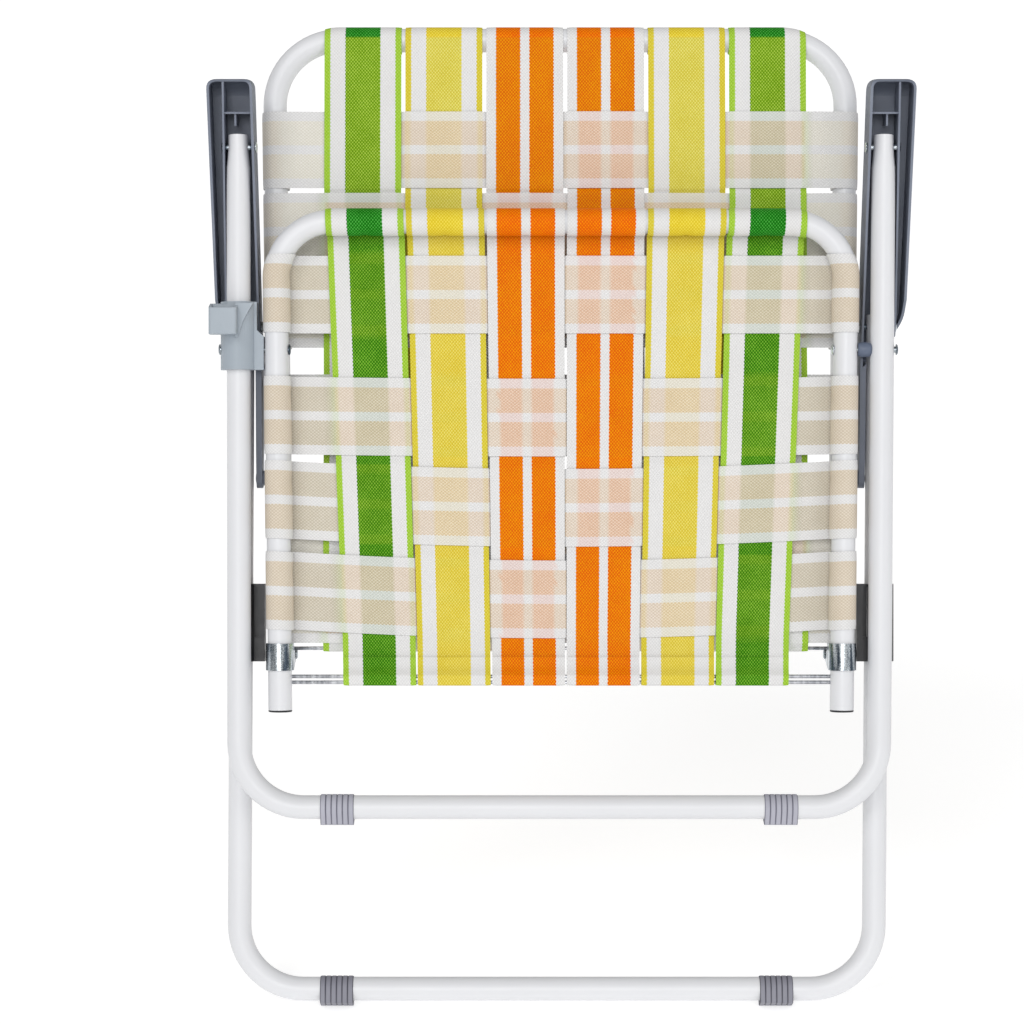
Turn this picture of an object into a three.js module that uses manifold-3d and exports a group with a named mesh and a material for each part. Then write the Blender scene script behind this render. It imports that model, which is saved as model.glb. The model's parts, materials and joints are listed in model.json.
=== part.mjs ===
// A folding webbed lawn chair, folded flat and leaning back as it does against a wall.
// Two leg loops, a seat loop and a back loop of bent steel tube turn on rivets in two
// moulded armrests. Woven straps make the seat and the back.
import * as THREE from 'three'
import { mergeVertices } from 'three/addons/utils/BufferGeometryUtils.js'
import Module from 'manifold-3d'

const wasm = await Module()
wasm.setup()

// Driving dimensions, in millimetres. The folded stack stands on Z, with X across the
// chair and Y going away from its front. Heights run up the stack from the rear soles,
// and depths run back from the front leg. The webbing is laid out from the hinge pins
// upward, and the rails and pivots take their places from it.

// Tube
const tube_radius = 11.1
const tube_wall = 1.2
const running_gap = 0.3

// Places in the folded stack
const hinge_height = 329.5
const stack_clearance = 5.8
const back_pivot_set_back = 6
const arm_rear_to_middle = 142
const arm_pivot_above_seat_rail = 69

// Leg loops
const rear_leg_inset = 1.5
const front_rail_below_hinge = 141
const rear_rail_height = 15
const leg_bend_radius = 60
const leg_end_past_pivot = 11
const pressed_length = 30
const pressed_half_width = 9.3

// Seat loop
const seat_end_below_hinge = 50.5
const seat_taper = 4.6
const seat_bend_radius = 52

// Back loop
const back_end_past_hinge = 8.5
const back_spread = 9.3
const back_bend_radius = 62

// Webbing
const web_width = 72.5
const web_thickness = 1.2
const weave_gap = 0.4
const tail_length = 8

// Gaps between the long straps and beside them. The seat's straps draw in to the rear.
const back_web_gap = 3.8
const seat_web_front_gap = 2.3
const seat_web_rear_gap = 1.6
const seat_web_draw = 4.9
const seat_web_beside = 54.2

// Gaps between the cross straps of the seat, and between them and what they lie beside
const seat_web_above_clamp = 8.65
const seat_gap_low = 12.5
const seat_gap_high = 8.8
const seat_web_below_pivot = 25.55
const seat_web_above_pivot = 15.85
const seat_web_below_rail = 30.65

// The same for the back
const back_web_above_rod = 5.05
const back_gap_low = 1.5
const back_web_below_pivot = 8.45
const back_web_above_pivot = 24.35
const back_gap_middle = 25.2
const back_gap_high = 1
const back_gap_top = 4.7
const back_web_below_rail = 69.75

// Cross rods that the long straps loop round
const rod_radius = 1.75
const rod_socket_depth = 7.4
const seat_rod_below_hinge = 24.9
const seat_rod_pitch = 5.5
const back_rod_height = 5.5
const back_rod_depth = 6.4

// Feet
const foot_length = 31
const foot_from_leg = 94
const foot_wall = 1.5
const foot_sole_drop = 14.9
const foot_sole_half_width = 8.6
const foot_groove_depth = 0.7
const foot_groove_width = 1.6

// Rivets and hinge pins
const rivet_radius = 3
const rivet_head_radius = 5.2
const rivet_head_height = 1.9
const pin_radius = 2.5
const pin_head_radius = 4.6
const pin_head_height = 1.7

// Armrests, measured from the legs' middles and their front pivot
const arm_front_reach = 63
const arm_front_inward = 14.4
const arm_front_outward = 28
const arm_waist_inward = 17.1
const arm_waist_outward = 23.5
const arm_waist_ahead = 1.3
const arm_shoulder_length = 40
const arm_wall = 2.4
const arm_plate_underside = 19.5
const arm_plate_thickness = 2.6
const arm_skirt_drop = 13
const arm_corner_radius = 9
const arm_rib_clearance = 2.6
const arm_rib_thickness = 1.8
const arm_rib_step = 2.5
const arm_cross_rib_place = 31
const arm_stub_rib_length = 11
const tongue_clearance = 1.8
const tongue_thickness = 5.6
const tongue_half_height = 9.5
const tongue_lip = 15.6

// Slides on the rear leg
const slide_below_pin = 6.5
const slide_above_pin = 66
const slide_wall = 2.7
const slide_lug_half_depth = 9
const slide_lug_clearance = 1
const slide_relief_depth = 3.2
const slide_relief_width = 3.4

// Saddle clamps that carry the hinge pins
const clamp_thickness = 1.3
const clamp_below_pin = 13.5
const clamp_above_pin = 11.5
const clamp_ear_radius = 5.5
const clamp_shoulder = 4
const clamp_gap = 0.5
const clamp_neck_start = 2.6
const clamp_neck_end = 12
const clamp_neck_height = 2.9

// Barrel spacer on the right seat pivot, which sets the legs apart from the seat
const spacer_length = 12.8
const spacer_radius = 7
const spacer_waist = 0.8

// Cup holder socket on the left seat pivot
const socket_above_pivot = 44
const socket_below_pivot = 19
const socket_wall = 2.4
const socket_shell_wall = 5
const socket_back_depth = 6.5
const socket_shoulder_above_pivot = 12
const socket_shoulder_slope = 6
const socket_neck_inward = 17.5
const socket_wing_half_depth = 6
const pocket_inset = 1
const pocket_width = 26
const pocket_front_depth = 29
const pocket_height = 29
const pocket_rim_fall = 8
const pocket_above_pivot = 42
const pocket_corner_radius = 3
const pocket_floor = 3

// End plugs of the seat tubes
const plug_cap_thickness = 1.6
const plug_spigot_length = 9

// Way of standing
const lean_angle = THREE.MathUtils.degToRad(17.5)
const rod_tail_angle = THREE.MathUtils.degToRad(36)
const rear_sole_angle = THREE.MathUtils.degToRad(20.5)
const arm_tilt = THREE.MathUtils.degToRad(8.5)

// Counts
const tube_sides = 14
const bore_sides = 7
const bend_steps = 7
const wrap_steps = 7
const rod_wrap_steps = 5
const long_strap_count = 6
const foot_rib_count = 6
const rivet_sides = 8
const foot_sides = 12
const foot_sole_points = 3
const rod_sides = 8
const corner_steps = 6
const clamp_steps = 7
const socket_steps = 10
const slide_steps = 18

// Shares of the sizes they follow
const wrap_turn_share = 305 / 360
const rod_wrap_start_share = 0.015
const rod_wrap_share = 0.56
const longest_corner_share = 0.48
const press_swell_share = 0.6
const head_shoulder_share = 0.45
const head_crown_share = 0.62
const overrun = tube_radius

// Places that follow from the sizes above
const weave_rise = (web_thickness + weave_gap) / 2
const tube_fold_depth = tube_radius + running_gap + web_thickness / 2
const stack_depth = 2 * tube_radius + stack_clearance
const arm_rear_pivot_depth = stack_depth + back_pivot_set_back

// Middles of cross straps that are stacked upward from a height, with the gap below each
function rowsUp(start, gaps) {
  let edge = start
  return gaps.map((gap) => {
    edge += gap + web_width
    return edge - web_width / 2
  })
}

// Seat rows from the hinge up. The seat pivot lies between the upper two.
const seat_pivot_gap = seat_web_below_pivot + seat_web_above_pivot
const seat_rows = rowsUp(hinge_height + clamp_above_pin,
  [seat_web_above_clamp, seat_gap_low, seat_gap_high, seat_pivot_gap]).reverse()
const seat_rod_height = hinge_height - seat_rod_below_hinge
const seat_end_height = hinge_height - seat_end_below_hinge
const seat_pivot_height = seat_rows[1] + web_width / 2 + seat_web_below_pivot
const seat_rail_height = seat_rows[0] + web_width / 2 + seat_web_below_rail

// Back rows, measured from the hinge. The armrest's pivot lies above the lower two.
const back_pivot_gap = back_web_below_pivot + back_web_above_pivot
const back_rows = rowsUp(back_rod_height, [
  back_web_above_rod, back_gap_low, back_pivot_gap, back_gap_middle, back_gap_high, back_gap_top,
]).reverse()
const back_length = back_rows[0] + web_width / 2 + back_web_below_rail
const arm_rear_rise = back_rows[4] + web_width / 2 + back_web_below_pivot
const back_tilt = Math.atan2(back_pivot_set_back, arm_rear_rise)
const back_pivot_height = Math.hypot(back_pivot_set_back, arm_rear_rise)

// Heights of the armrests' pivots and of the front rail
const arm_rear_pivot_height = hinge_height + arm_rear_rise
const arm_middle_pivot_height = arm_rear_pivot_height + arm_rear_to_middle
const arm_front_pivot_height = seat_rail_height + arm_pivot_above_seat_rail
const front_rail_height = hinge_height - front_rail_below_hinge

// Long straps, which set how far apart the seat's side tubes are
const outer_column = (long_strap_count - 1) / 2
const back_web_pitch = web_width + back_web_gap
const seat_web_front_pitch = web_width + seat_web_front_gap
const seat_web_rear_width = web_width - seat_web_draw
const seat_web_rear_pitch = seat_web_rear_width + seat_web_rear_gap
const seat_rear_half_width = outer_column * seat_web_rear_pitch + seat_web_rear_width / 2 + seat_web_beside

// Half-widths of the slightly tapered seat and back loops at a height
function seatHalf(height) {
  return seat_rear_half_width + seat_taper * (height - seat_end_height) / (seat_rail_height - seat_end_height)
}

function backHalf(height) {
  return seatHalf(hinge_height) + back_spread * height / back_length
}

const seat_front_half_width = seatHalf(seat_rail_height)
const back_top_half_width = backHalf(back_length)

// The split plane between what turns with the seat and what stays on the front leg
const seat_pivot_face = seatHalf(seat_pivot_height) + tube_radius
const front_leg_half_width = seat_pivot_face + spacer_length + 2 * running_gap + tube_radius
const rear_leg_half_width = front_leg_half_width - rear_leg_inset
const foot_place = front_leg_half_width - foot_from_leg

// Edges of the armrest across the chair
const arm_front_inner = front_leg_half_width - arm_front_inward
const arm_front_outer = front_leg_half_width + arm_front_outward
const arm_waist_inner = rear_leg_half_width - arm_waist_inward
const arm_waist_outer = rear_leg_half_width + arm_waist_outward
const arm_rib_inner = front_leg_half_width + pressed_half_width + arm_rib_clearance
const tongue_outer = rear_leg_half_width - tube_radius - tongue_clearance
const tongue_inner = tongue_outer - tongue_thickness

// Half the grip of the hinge pin between its heads, and the edges of what lies beside it
const pin_reach = tube_radius + clamp_gap + clamp_thickness + running_gap
const slide_lug_inner = seatHalf(hinge_height) + pin_reach + pin_head_height + slide_lug_clearance
const socket_neck_inner = front_leg_half_width - socket_neck_inward
const pocket_inner = front_leg_half_width - pocket_inset
const pocket_outer = pocket_inner + pocket_width

const vec = (x, y, z) => new THREE.Vector3(x, y, z)

// Turns a closed surface so that its faces point outward.
function outward(geometry) {
  const clean = new THREE.BufferGeometry()
  clean.setAttribute('position', geometry.getAttribute('position').clone())
  if (geometry.index) clean.setIndex([...geometry.index.array])
  const merged = mergeVertices(clean)
  const index = merged.index.array
  const place = merged.getAttribute('position')
  const [a, b, c] = [vec(0, 0, 0), vec(0, 0, 0), vec(0, 0, 0)]
  let volume = 0
  for (let i = 0; i < index.length; i += 3) {
    a.fromBufferAttribute(place, index[i])
    b.fromBufferAttribute(place, index[i + 1])
    c.fromBufferAttribute(place, index[i + 2])
    volume += a.dot(b.cross(c))
  }
  if (volume < 0) {
    for (let i = 0; i < index.length; i += 3) {
      const first = index[i]
      index[i] = index[i + 1]
      index[i + 1] = first
    }
  }
  return merged
}

// Surfaces skinned over rings of points. An inner row of rings makes the bore.
function skin(outer, inner = null) {
  const points = []
  const faces = []
  const add = (ring) => {
    const first = points.length
    points.push(...ring)
    return ring.map((_, i) => first + i)
  }
  const wall = (rings, flip) => {
    for (let r = 0; r + 1 < rings.length; r += 1) {
      const [low, high] = [rings[r], rings[r + 1]]
      low.forEach((_, i) => {
        const j = (i + 1) % low.length
        const quad = [[low[i], low[j], high[j]], [low[i], high[j], high[i]]]
        for (const face of quad) faces.push(flip ? face.reverse() : face)
      })
    }
  }
  const out = outer.map(add)
  wall(out, false)
  if (!inner) {
    for (const [ring, flip] of [[out[0], true], [out[out.length - 1], false]]) {
      for (let i = 1; i + 1 < ring.length; i += 1) {
        const face = [ring[0], ring[i], ring[i + 1]]
        faces.push(flip ? face.reverse() : face)
      }
    }
  } else {
    const bore = inner.map(add)
    wall(bore, true)
    const ends = [[out[0], bore[0], true], [out[out.length - 1], bore[bore.length - 1], false]]
    for (const [rim, hole, flip] of ends) {
      const step = rim.length / hole.length
      hole.forEach((_, i) => {
        const next = (i + 1) % hole.length
        const middle = Math.floor(step / 2)
        for (let k = 0; k < step; k += 1) {
          const from = i * step + k
          const to = (from + 1) % rim.length
          const face = [rim[from], rim[to], k < middle ? hole[i] : hole[next]]
          faces.push(flip ? face.reverse() : face)
        }
        const face = [rim[i * step + middle], hole[next], hole[i]]
        faces.push(flip ? face.reverse() : face)
      })
    }
  }
  const geometry = new THREE.BufferGeometry()
  const places = points.flatMap((p) => [p.x, p.y, p.z])
  geometry.setAttribute('position', new THREE.Float32BufferAttribute(places, 3))
  geometry.setIndex(faces.flat())
  return outward(geometry)
}

// Boolean joins and cuts
function solidOf(geometry) {
  const closed = outward(geometry)
  const mesh = new wasm.Mesh({
    numProp: 3,
    vertProperties: new Float32Array(closed.getAttribute('position').array),
    triVerts: new Uint32Array(closed.index.array),
  })
  return new wasm.Manifold(mesh)
}

function geometryOf(solid) {
  const mesh = solid.getMesh()
  const geometry = new THREE.BufferGeometry()
  geometry.setAttribute('position', new THREE.BufferAttribute(new Float32Array(mesh.vertProperties), 3))
  geometry.setIndex([...mesh.triVerts])
  return geometry
}

function cut(geometry, tools) {
  return geometryOf(tools.reduce((solid, tool) => solid.subtract(solidOf(tool)), solidOf(geometry)))
}

function join(geometries) {
  return geometryOf(geometries.map(solidOf).reduce((whole, piece) => whole.add(piece)))
}

function common(first, second) {
  return geometryOf(solidOf(first).intersect(solidOf(second)))
}

function mirrored(geometry) {
  return outward(geometry.clone().scale(-1, 1, 1))
}

// Outlines pushed through along one axis
function pushed(shape, length, arc_steps = corner_steps) {
  return new THREE.ExtrudeGeometry(shape, { depth: length, bevelEnabled: false, curveSegments: arc_steps })
}

function throughX(shape, from, to, arc_steps) {
  const basis = new THREE.Matrix4().makeBasis(vec(0, 1, 0), vec(0, 0, 1), vec(1, 0, 0))
  return pushed(shape, to - from, arc_steps).applyMatrix4(basis).translate(from, 0, 0)
}

function throughY(shape, from, to, arc_steps) {
  const basis = new THREE.Matrix4().makeBasis(vec(1, 0, 0), vec(0, 0, 1), vec(0, -1, 0))
  return pushed(shape, to - from, arc_steps).applyMatrix4(basis).translate(0, to, 0)
}

function throughZ(shape, from, to, arc_steps) {
  return pushed(shape, to - from, arc_steps).translate(0, 0, from)
}

// A closed outline whose corners are rounded where a third value gives their radius.
function outline(points) {
  const shape = new THREE.Shape()
  points.forEach(([x, y, radius = 0], i) => {
    const here = new THREE.Vector2(x, y)
    if (radius === 0) {
      if (i === 0) shape.moveTo(x, y)
      else shape.lineTo(x, y)
      return
    }
    const before = points[(i + points.length - 1) % points.length]
    const after = points[(i + 1) % points.length]
    const back = new THREE.Vector2(before[0], before[1]).sub(here)
    const on = new THREE.Vector2(after[0], after[1]).sub(here)
    const room = Math.min(back.length(), on.length()) * longest_corner_share
    back.normalize()
    on.normalize()
    const reach = Math.min(radius / Math.tan(Math.acos(back.dot(on)) / 2), room)
    const start = here.clone().addScaledVector(back, reach)
    const end = here.clone().addScaledVector(on, reach)
    if (i === 0) shape.moveTo(start.x, start.y)
    else shape.lineTo(start.x, start.y)
    shape.quadraticCurveTo(x, y, end.x, end.y)
  })
  shape.closePath()
  return shape
}

// A cylinder along X, used as a hole through a tube and as a rod.
function barX(radius, from, to, y, z, sides = rivet_sides) {
  const bar = new THREE.CylinderGeometry(radius, radius, to - from, sides)
  return bar.rotateZ(-Math.PI / 2).translate((from + to) / 2, y, z)
}

// A revolved piece along X. Its profile runs in pairs of place along X and radius.
function turnedX(profile, y, z, sides = rivet_sides) {
  const points = profile.map(([place, radius]) => new THREE.Vector2(radius, place))
  const lathe = new THREE.LatheGeometry(points, sides)
  return outward(lathe.rotateZ(-Math.PI / 2).translate(0, y, z))
}

// A domed head that starts at a face and rises outward, as profile pairs.
function dome(face, direction, head_radius, head_height) {
  return [
    [face, head_radius],
    [face + direction * head_height * head_shoulder_share, head_radius],
    [face + direction * head_height, head_radius * head_crown_share],
    [face + direction * head_height, 0],
  ]
}

// A rivet from an outer head to an inner head or a plain inner end.
function rivet({ outer, inner, radius, head_radius, head_height, inner_head, y, z }) {
  const head = dome(outer, 1, head_radius, head_height)
  const foot = inner_head
    ? dome(inner, -1, head_radius, head_height).reverse().concat([[inner, radius]])
    : [[inner, 0], [inner, radius]]
  return turnedX([...foot, [outer, radius], ...head], y, z)
}

// Tube loops: a path of straight runs with bends between them, in the plane of X and Z.
function bentPath(corners, bend_radius) {
  const stations = []
  corners.forEach((corner, i) => {
    if (i === 0 || i === corners.length - 1) {
      const other = corners[i === 0 ? 1 : i - 1]
      const along = other.clone().sub(corner).normalize().multiplyScalar(i === 0 ? 1 : -1)
      stations.push({ at: corner.clone(), along })
      return
    }
    const arriving = corner.clone().sub(corners[i - 1]).normalize()
    const leaving = corners[i + 1].clone().sub(corner).normalize()
    const turn = Math.acos(arriving.dot(leaving))
    const side = Math.sign(arriving.clone().cross(leaving).y)
    const start = corner.clone().addScaledVector(arriving, -bend_radius * Math.tan(turn / 2))
    const inwards = arriving.clone().applyAxisAngle(vec(0, 1, 0), side * Math.PI / 2)
    const centre = start.clone().addScaledVector(inwards, bend_radius)
    for (let k = 0; k <= bend_steps; k += 1) {
      const angle = side * turn * k / bend_steps
      const spoke = start.clone().sub(centre).applyAxisAngle(vec(0, 1, 0), angle)
      const along = arriving.clone().applyAxisAngle(vec(0, 1, 0), angle)
      stations.push({ at: centre.clone().add(spoke), along })
    }
  })
  return stations
}

// Rings round a path, pressed flat by the share that each station gives.
function rings(stations, radius, sides) {
  return stations.map(({ at, along, press_share = 1 }) => {
    const across = along.clone().cross(vec(0, 1, 0)).normalize()
    return Array.from({ length: sides }, (_, i) => {
      const angle = 2 * Math.PI * i / sides
      const swell_share = 1 + (1 - press_share) * press_swell_share
      return at.clone()
        .addScaledVector(across, radius * press_share * Math.cos(angle))
        .addScaledVector(vec(0, 1, 0), radius * swell_share * Math.sin(angle))
    })
  })
}

function tubeLoop(stations) {
  return skin(rings(stations, tube_radius, tube_sides), rings(stations, tube_radius - tube_wall, bore_sides))
}

// A loop with its open ends at one height and its cross rail at another.
function loopStations(end_half, end_height, rail_half, rail_height, bend_radius) {
  const corners = [
    vec(-end_half, 0, end_height),
    vec(-rail_half, 0, rail_height),
    vec(rail_half, 0, rail_height),
    vec(end_half, 0, end_height),
  ]
  return bentPath(corners, bend_radius)
}

// Adds the stations where both ends of a leg loop are pressed narrower for the armrests.
function pressEnds(stations) {
  const press_share = pressed_half_width / tube_radius
  const blend_share = 0.45
  const first = stations[0]
  const last = stations[stations.length - 1]
  const near = (end, sign, share) => end.at.clone().addScaledVector(end.along, sign * pressed_length * share)
  return [
    { ...first, press_share },
    { at: near(first, 1, blend_share), along: first.along, press_share },
    { at: near(first, 1, 1), along: first.along },
    ...stations.slice(1, -1),
    { at: near(last, -1, 1), along: last.along },
    { at: near(last, -1, blend_share), along: last.along, press_share },
    { ...last, press_share },
  ]
}

// A hole in which a pin of one size runs clear
function holeX(radius, inner, outer, y, z) {
  return barX((radius + running_gap) / Math.cos(Math.PI / rivet_sides), inner, outer, y, z)
}

// The same hole on both sides of a loop
function holesX(radius, inner, outer, y, z) {
  const hole = holeX(radius, inner, outer, y, z)
  return [hole, mirrored(hole)]
}

function frontLegFrame() {
  const end_height = arm_front_pivot_height + leg_end_past_pivot
  const half = front_leg_half_width
  const path = pressEnds(loopStations(half, end_height, half, front_rail_height, leg_bend_radius))
  const [inner, outer] = [half - 2 * tube_radius, half + 2 * tube_radius]
  return cut(tubeLoop(path), [
    ...holesX(rivet_radius, inner, outer, 0, arm_front_pivot_height),
    ...holesX(rivet_radius, inner, outer, 0, seat_pivot_height),
  ])
}

function rearLegFrame() {
  const end_height = arm_middle_pivot_height + leg_end_past_pivot
  const half = rear_leg_half_width
  const path = loopStations(half, end_height, half, rear_rail_height, leg_bend_radius)
  const [inner, outer] = [half - 2 * tube_radius, half + 2 * tube_radius]
  return cut(tubeLoop(path), holesX(rivet_radius, inner, outer, 0, arm_middle_pivot_height))
}

// How far a bend has come in from its straight run, a given way into it, and the share by
// which a fold over it widens, with some slack
function bendAt(way, radius) {
  if (way <= 0) return { fall: 0, widening_share: 1 }
  const along = Math.sqrt(radius * radius - way * way)
  return { fall: radius - along, widening_share: (radius / along) ** 2 }
}

function seatFrame() {
  const path = loopStations(seatHalf(seat_end_height), seat_end_height,
    seat_front_half_width, seat_rail_height, seat_bend_radius)
  const half = seatHalf(seat_pivot_height)
  const rods = [0, 1].flatMap((n) => {
    const height = seat_rod_height + n * seat_rod_pitch
    return holesX(rod_radius, seatHalf(height) - 2 * tube_radius, seatHalf(height), 0, height)
  })
  return cut(tubeLoop(path), [
    ...holesX(rivet_radius, half - 2 * tube_radius, half + 2 * tube_radius, 0, seat_pivot_height),
    ...rods,
  ])
}

function backFrame() {
  const end = -back_end_past_hinge
  const path = loopStations(backHalf(end), end, back_top_half_width, back_length, back_bend_radius)
  const arm_half = backHalf(back_pivot_height)
  return cut(tubeLoop(path), [
    ...holesX(pin_radius, backHalf(0) - 2 * tube_radius, backHalf(0) + 2 * tube_radius, 0, 0),
    ...holesX(rivet_radius, arm_half - 2 * tube_radius, arm_half + 2 * tube_radius, 0, back_pivot_height),
    ...holesX(rod_radius, backHalf(0) - 2 * tube_radius, backHalf(0), -back_rod_depth, back_rod_height),
  ])
}

// A ribbed foot that sleeves a cross rail, with a flat sole on its lower side.
function foot(centre, sole_angle) {
  const step = 2 * Math.PI / foot_sides
  const bore = (tube_radius + running_gap) / Math.cos(step / 2)
  const round_points = foot_sides - foot_sole_points
  const first = -Math.PI / 2 + (foot_sole_points + 1) / 2 * step
  const ring = (x, radius, sole_inset) => Array.from({ length: foot_sides }, (_, i) => {
    const angle = first + i * step
    if (i < round_points || sole_inset === null) {
      return vec(x, radius * Math.cos(angle), radius * Math.sin(angle))
    }
    const place = i - round_points - (foot_sole_points - 1) / 2
    return vec(x, place * foot_sole_half_width, sole_inset - foot_sole_drop)
  })
  const pitch = (foot_length + foot_groove_width) / foot_rib_count
  const rib = pitch - foot_groove_width
  const outer = []
  for (let n = 0; n < foot_rib_count; n += 1) {
    const start = -foot_length / 2 + n * pitch
    outer.push(ring(start, bore + foot_wall, 0), ring(start + rib, bore + foot_wall, 0))
    if (n + 1 < foot_rib_count) {
      const groove = start + rib + foot_groove_width / 2
      outer.push(ring(groove, bore + foot_wall - foot_groove_depth, foot_groove_depth))
    }
  }
  const inner = [-foot_length / 2, foot_length / 2].map((x) => ring(x, bore, null))
  return skin(outer, inner).rotateX(sole_angle).translate(centre.x, centre.y, centre.z)
}

// Straps. A station holds the strap's two edges and the direction of its thickness.
function strap(stations) {
  const half = web_thickness / 2
  return skin(stations.map(({ left, right, rise }) => [
    left.clone().addScaledVector(rise, half),
    right.clone().addScaledVector(rise, half),
    right.clone().addScaledVector(rise, -half),
    left.clone().addScaledVector(rise, -half),
  ]))
}

// The thickness direction at each point of a line that folds, in the plane of run and depth
function mitred(points) {
  return points.map((point, i) => {
    const before = points[Math.max(i - 1, 0)]
    const after = points[Math.min(i + 1, points.length - 1)]
    const arriving = new THREE.Vector2(point.run - before.run, point.depth - before.depth)
    const leaving = new THREE.Vector2(after.run - point.run, after.depth - point.depth)
    if (arriving.length() === 0) arriving.copy(leaving)
    if (leaving.length() === 0) leaving.copy(arriving)
    const [first, second] = [arriving.normalize(), leaving.normalize()]
    const middle = first.clone().add(second).normalize()
    const spread = 1 / middle.dot(first)
    return { ...point, rise_run: -middle.y * spread, rise_depth: middle.x * spread }
  })
}

// The fold round a tube: from the web's plane, nearly all the way round the tube, with its
// end tucked in beside the web. The plane lies on the given side of the tube, and the fold
// goes the way of the end.
function tubeFold(end, side) {
  const radius = tube_radius + running_gap + web_thickness / 2
  const step = 2 * Math.PI * wrap_turn_share / wrap_steps
  const corner = radius / Math.cos(step / 2)
  const points = Array.from({ length: wrap_steps }, (_, i) => {
    const angle = step / 2 + step * i
    return { run: end * corner * Math.sin(angle), depth: side * corner * Math.cos(angle) }
  })
  const turn = step * wrap_steps
  points.push({ run: end * radius * Math.sin(turn), depth: side * radius * Math.cos(turn) })
  return points
}

// Stations of a woven run: level over each crossing, and sloping between crossings.
function wovenRun(crossings, side, base) {
  return crossings.flatMap(({ from, to, over }) => {
    const depth = side * base - over * weave_rise
    return [{ at: from, depth }, { at: to, depth }]
  })
}

// Whether the long strap lies nearer the front than the cross strap at one crossing
function longIsFront(column, row) {
  return (column + row) % 2 === 0
}

// Strap edges of the long straps, at a height
function backColumn(column) {
  const middle = (column - outer_column) * back_web_pitch
  return () => [middle - web_width / 2, middle + web_width / 2]
}

function seatColumn(column) {
  const place = column - outer_column
  return (height) => {
    const share = (height - seat_rod_height) / (seat_rail_height - seat_rod_height)
    const pitch = seat_web_rear_pitch + (seat_web_front_pitch - seat_web_rear_pitch) * share
    const width = seat_web_rear_width + (web_width - seat_web_rear_width) * share
    return [place * pitch - width / 2, place * pitch + width / 2]
  }
}

// A strap that runs up the chair. Under the rail, its fold follows the rail's bends.
function longStrap(points, edges, rail, bend) {
  return strap(points.map(({ run, depth, rise_run, rise_depth, folded = false }) => {
    const height = folded ? rail + run : run
    const [left, right] = edges(height).map((x) => {
      const { fall, widening_share } = bend(Math.abs(x))
      const way = run < 0 ? run * widening_share - fall : run
      return vec(x, depth, folded ? rail + way : run)
    })
    return { left, right, rise: vec(0, rise_depth, rise_run) }
  }))
}

// A strap that runs across the chair. Its stations follow the tubes and straps that it meets.
function crossStrap(points, height) {
  const [top, bottom] = [height + web_width / 2, height - web_width / 2]
  return strap(points.map(({ at, depth, rise_run, rise_depth }) => ({
    left: vec(at(top), depth, top),
    right: vec(at(bottom), depth, bottom),
    rise: vec(rise_run, rise_depth, 0),
  })))
}

// A long strap's points: an upper fold, the woven run and a lower fold.
function longPoints({ column, rows, side, rail, upper, lower, base }) {
  const crossings = rows.map((height, row) => ({
    from: height + web_width / 2,
    to: height - web_width / 2,
    over: longIsFront(column, row) ? 1 : -1,
  }))
  const woven = wovenRun(crossings, side, base).map(({ at, depth }) => ({
    run: at, depth, rise_run: 0, rise_depth: -1,
  }))
  const over_rail = { run: woven[0].run - rail, depth: woven[0].depth }
  const head = mitred([...upper.slice().reverse(), over_rail]).slice(0, -1)
  const end = mitred([woven[woven.length - 1], ...lower]).slice(1)
  return [...head.map((point) => ({ ...point, folded: true })), ...woven, ...end]
}

// A cross strap's points, folded round both side tubes
function crossPoints({ row, side, half, bend, column_edges, base }) {
  const fold = tubeFold(1, side)
  const out = (z, run) => {
    const { fall, widening_share } = bend(z)
    return half(z) + (run < 0 ? run * widening_share - fall : run)
  }
  const right = fold.map(({ run, depth }) => ({ run, depth, at: (z) => out(z, run) }))
  const left = fold.map(({ run, depth }) => ({ run: -run, depth, at: (z) => -out(z, run) })).reverse()
  const crossings = column_edges.map((edges, column) => ({
    from: (z) => edges(z)[0],
    to: (z) => edges(z)[1],
    over: longIsFront(column, row) ? -1 : 1,
  }))
  const woven = wovenRun(crossings, side, base).map((point) => ({ ...point, rise_run: 0, rise_depth: 1 }))
  const inner_left = { run: web_width, depth: side * base }
  const inner_right = { run: -web_width, depth: side * base }
  const first = mitred([...left, inner_left]).slice(0, -1)
  const last = mitred([inner_right, ...right]).slice(1)
  return [...first, ...woven, ...last]
}

// The lower fold of the seat's long straps goes round both rods together, and its tail
// climbs from the upper rod to the underside of the web.
function seatRodFold() {
  const radius = rod_radius + running_gap + web_thickness / 2
  const [low, high] = [seat_rod_height, seat_rod_height + seat_rod_pitch]
  const corner = radius / Math.cos(Math.PI / 4)
  const round = [1, -1].map((way) => ({
    run: low - corner * Math.sin(Math.PI / 4),
    depth: way * corner * Math.cos(Math.PI / 4),
  }))
  const last_row = seat_rows[seat_rows.length - 1] - web_width / 2
  const slope = (tube_fold_depth - radius) / (last_row - high)
  const tail_slope = Math.tan(rod_tail_angle)
  const knee = radius * Math.tan(rod_tail_angle / 2)
  const rise = Math.hypot(1, slope)
  const start = radius * rise - (web_thickness + weave_gap) * rise
  const meet = (start + radius + knee * tail_slope) / (tail_slope - slope)
  return [
    { run: high, depth: radius * rise },
    ...round,
    { run: high + knee, depth: -radius },
    { run: high + meet, depth: start + slope * meet },
    { run: high + meet + tail_length, depth: start + slope * (meet + tail_length) },
  ]
}

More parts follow.
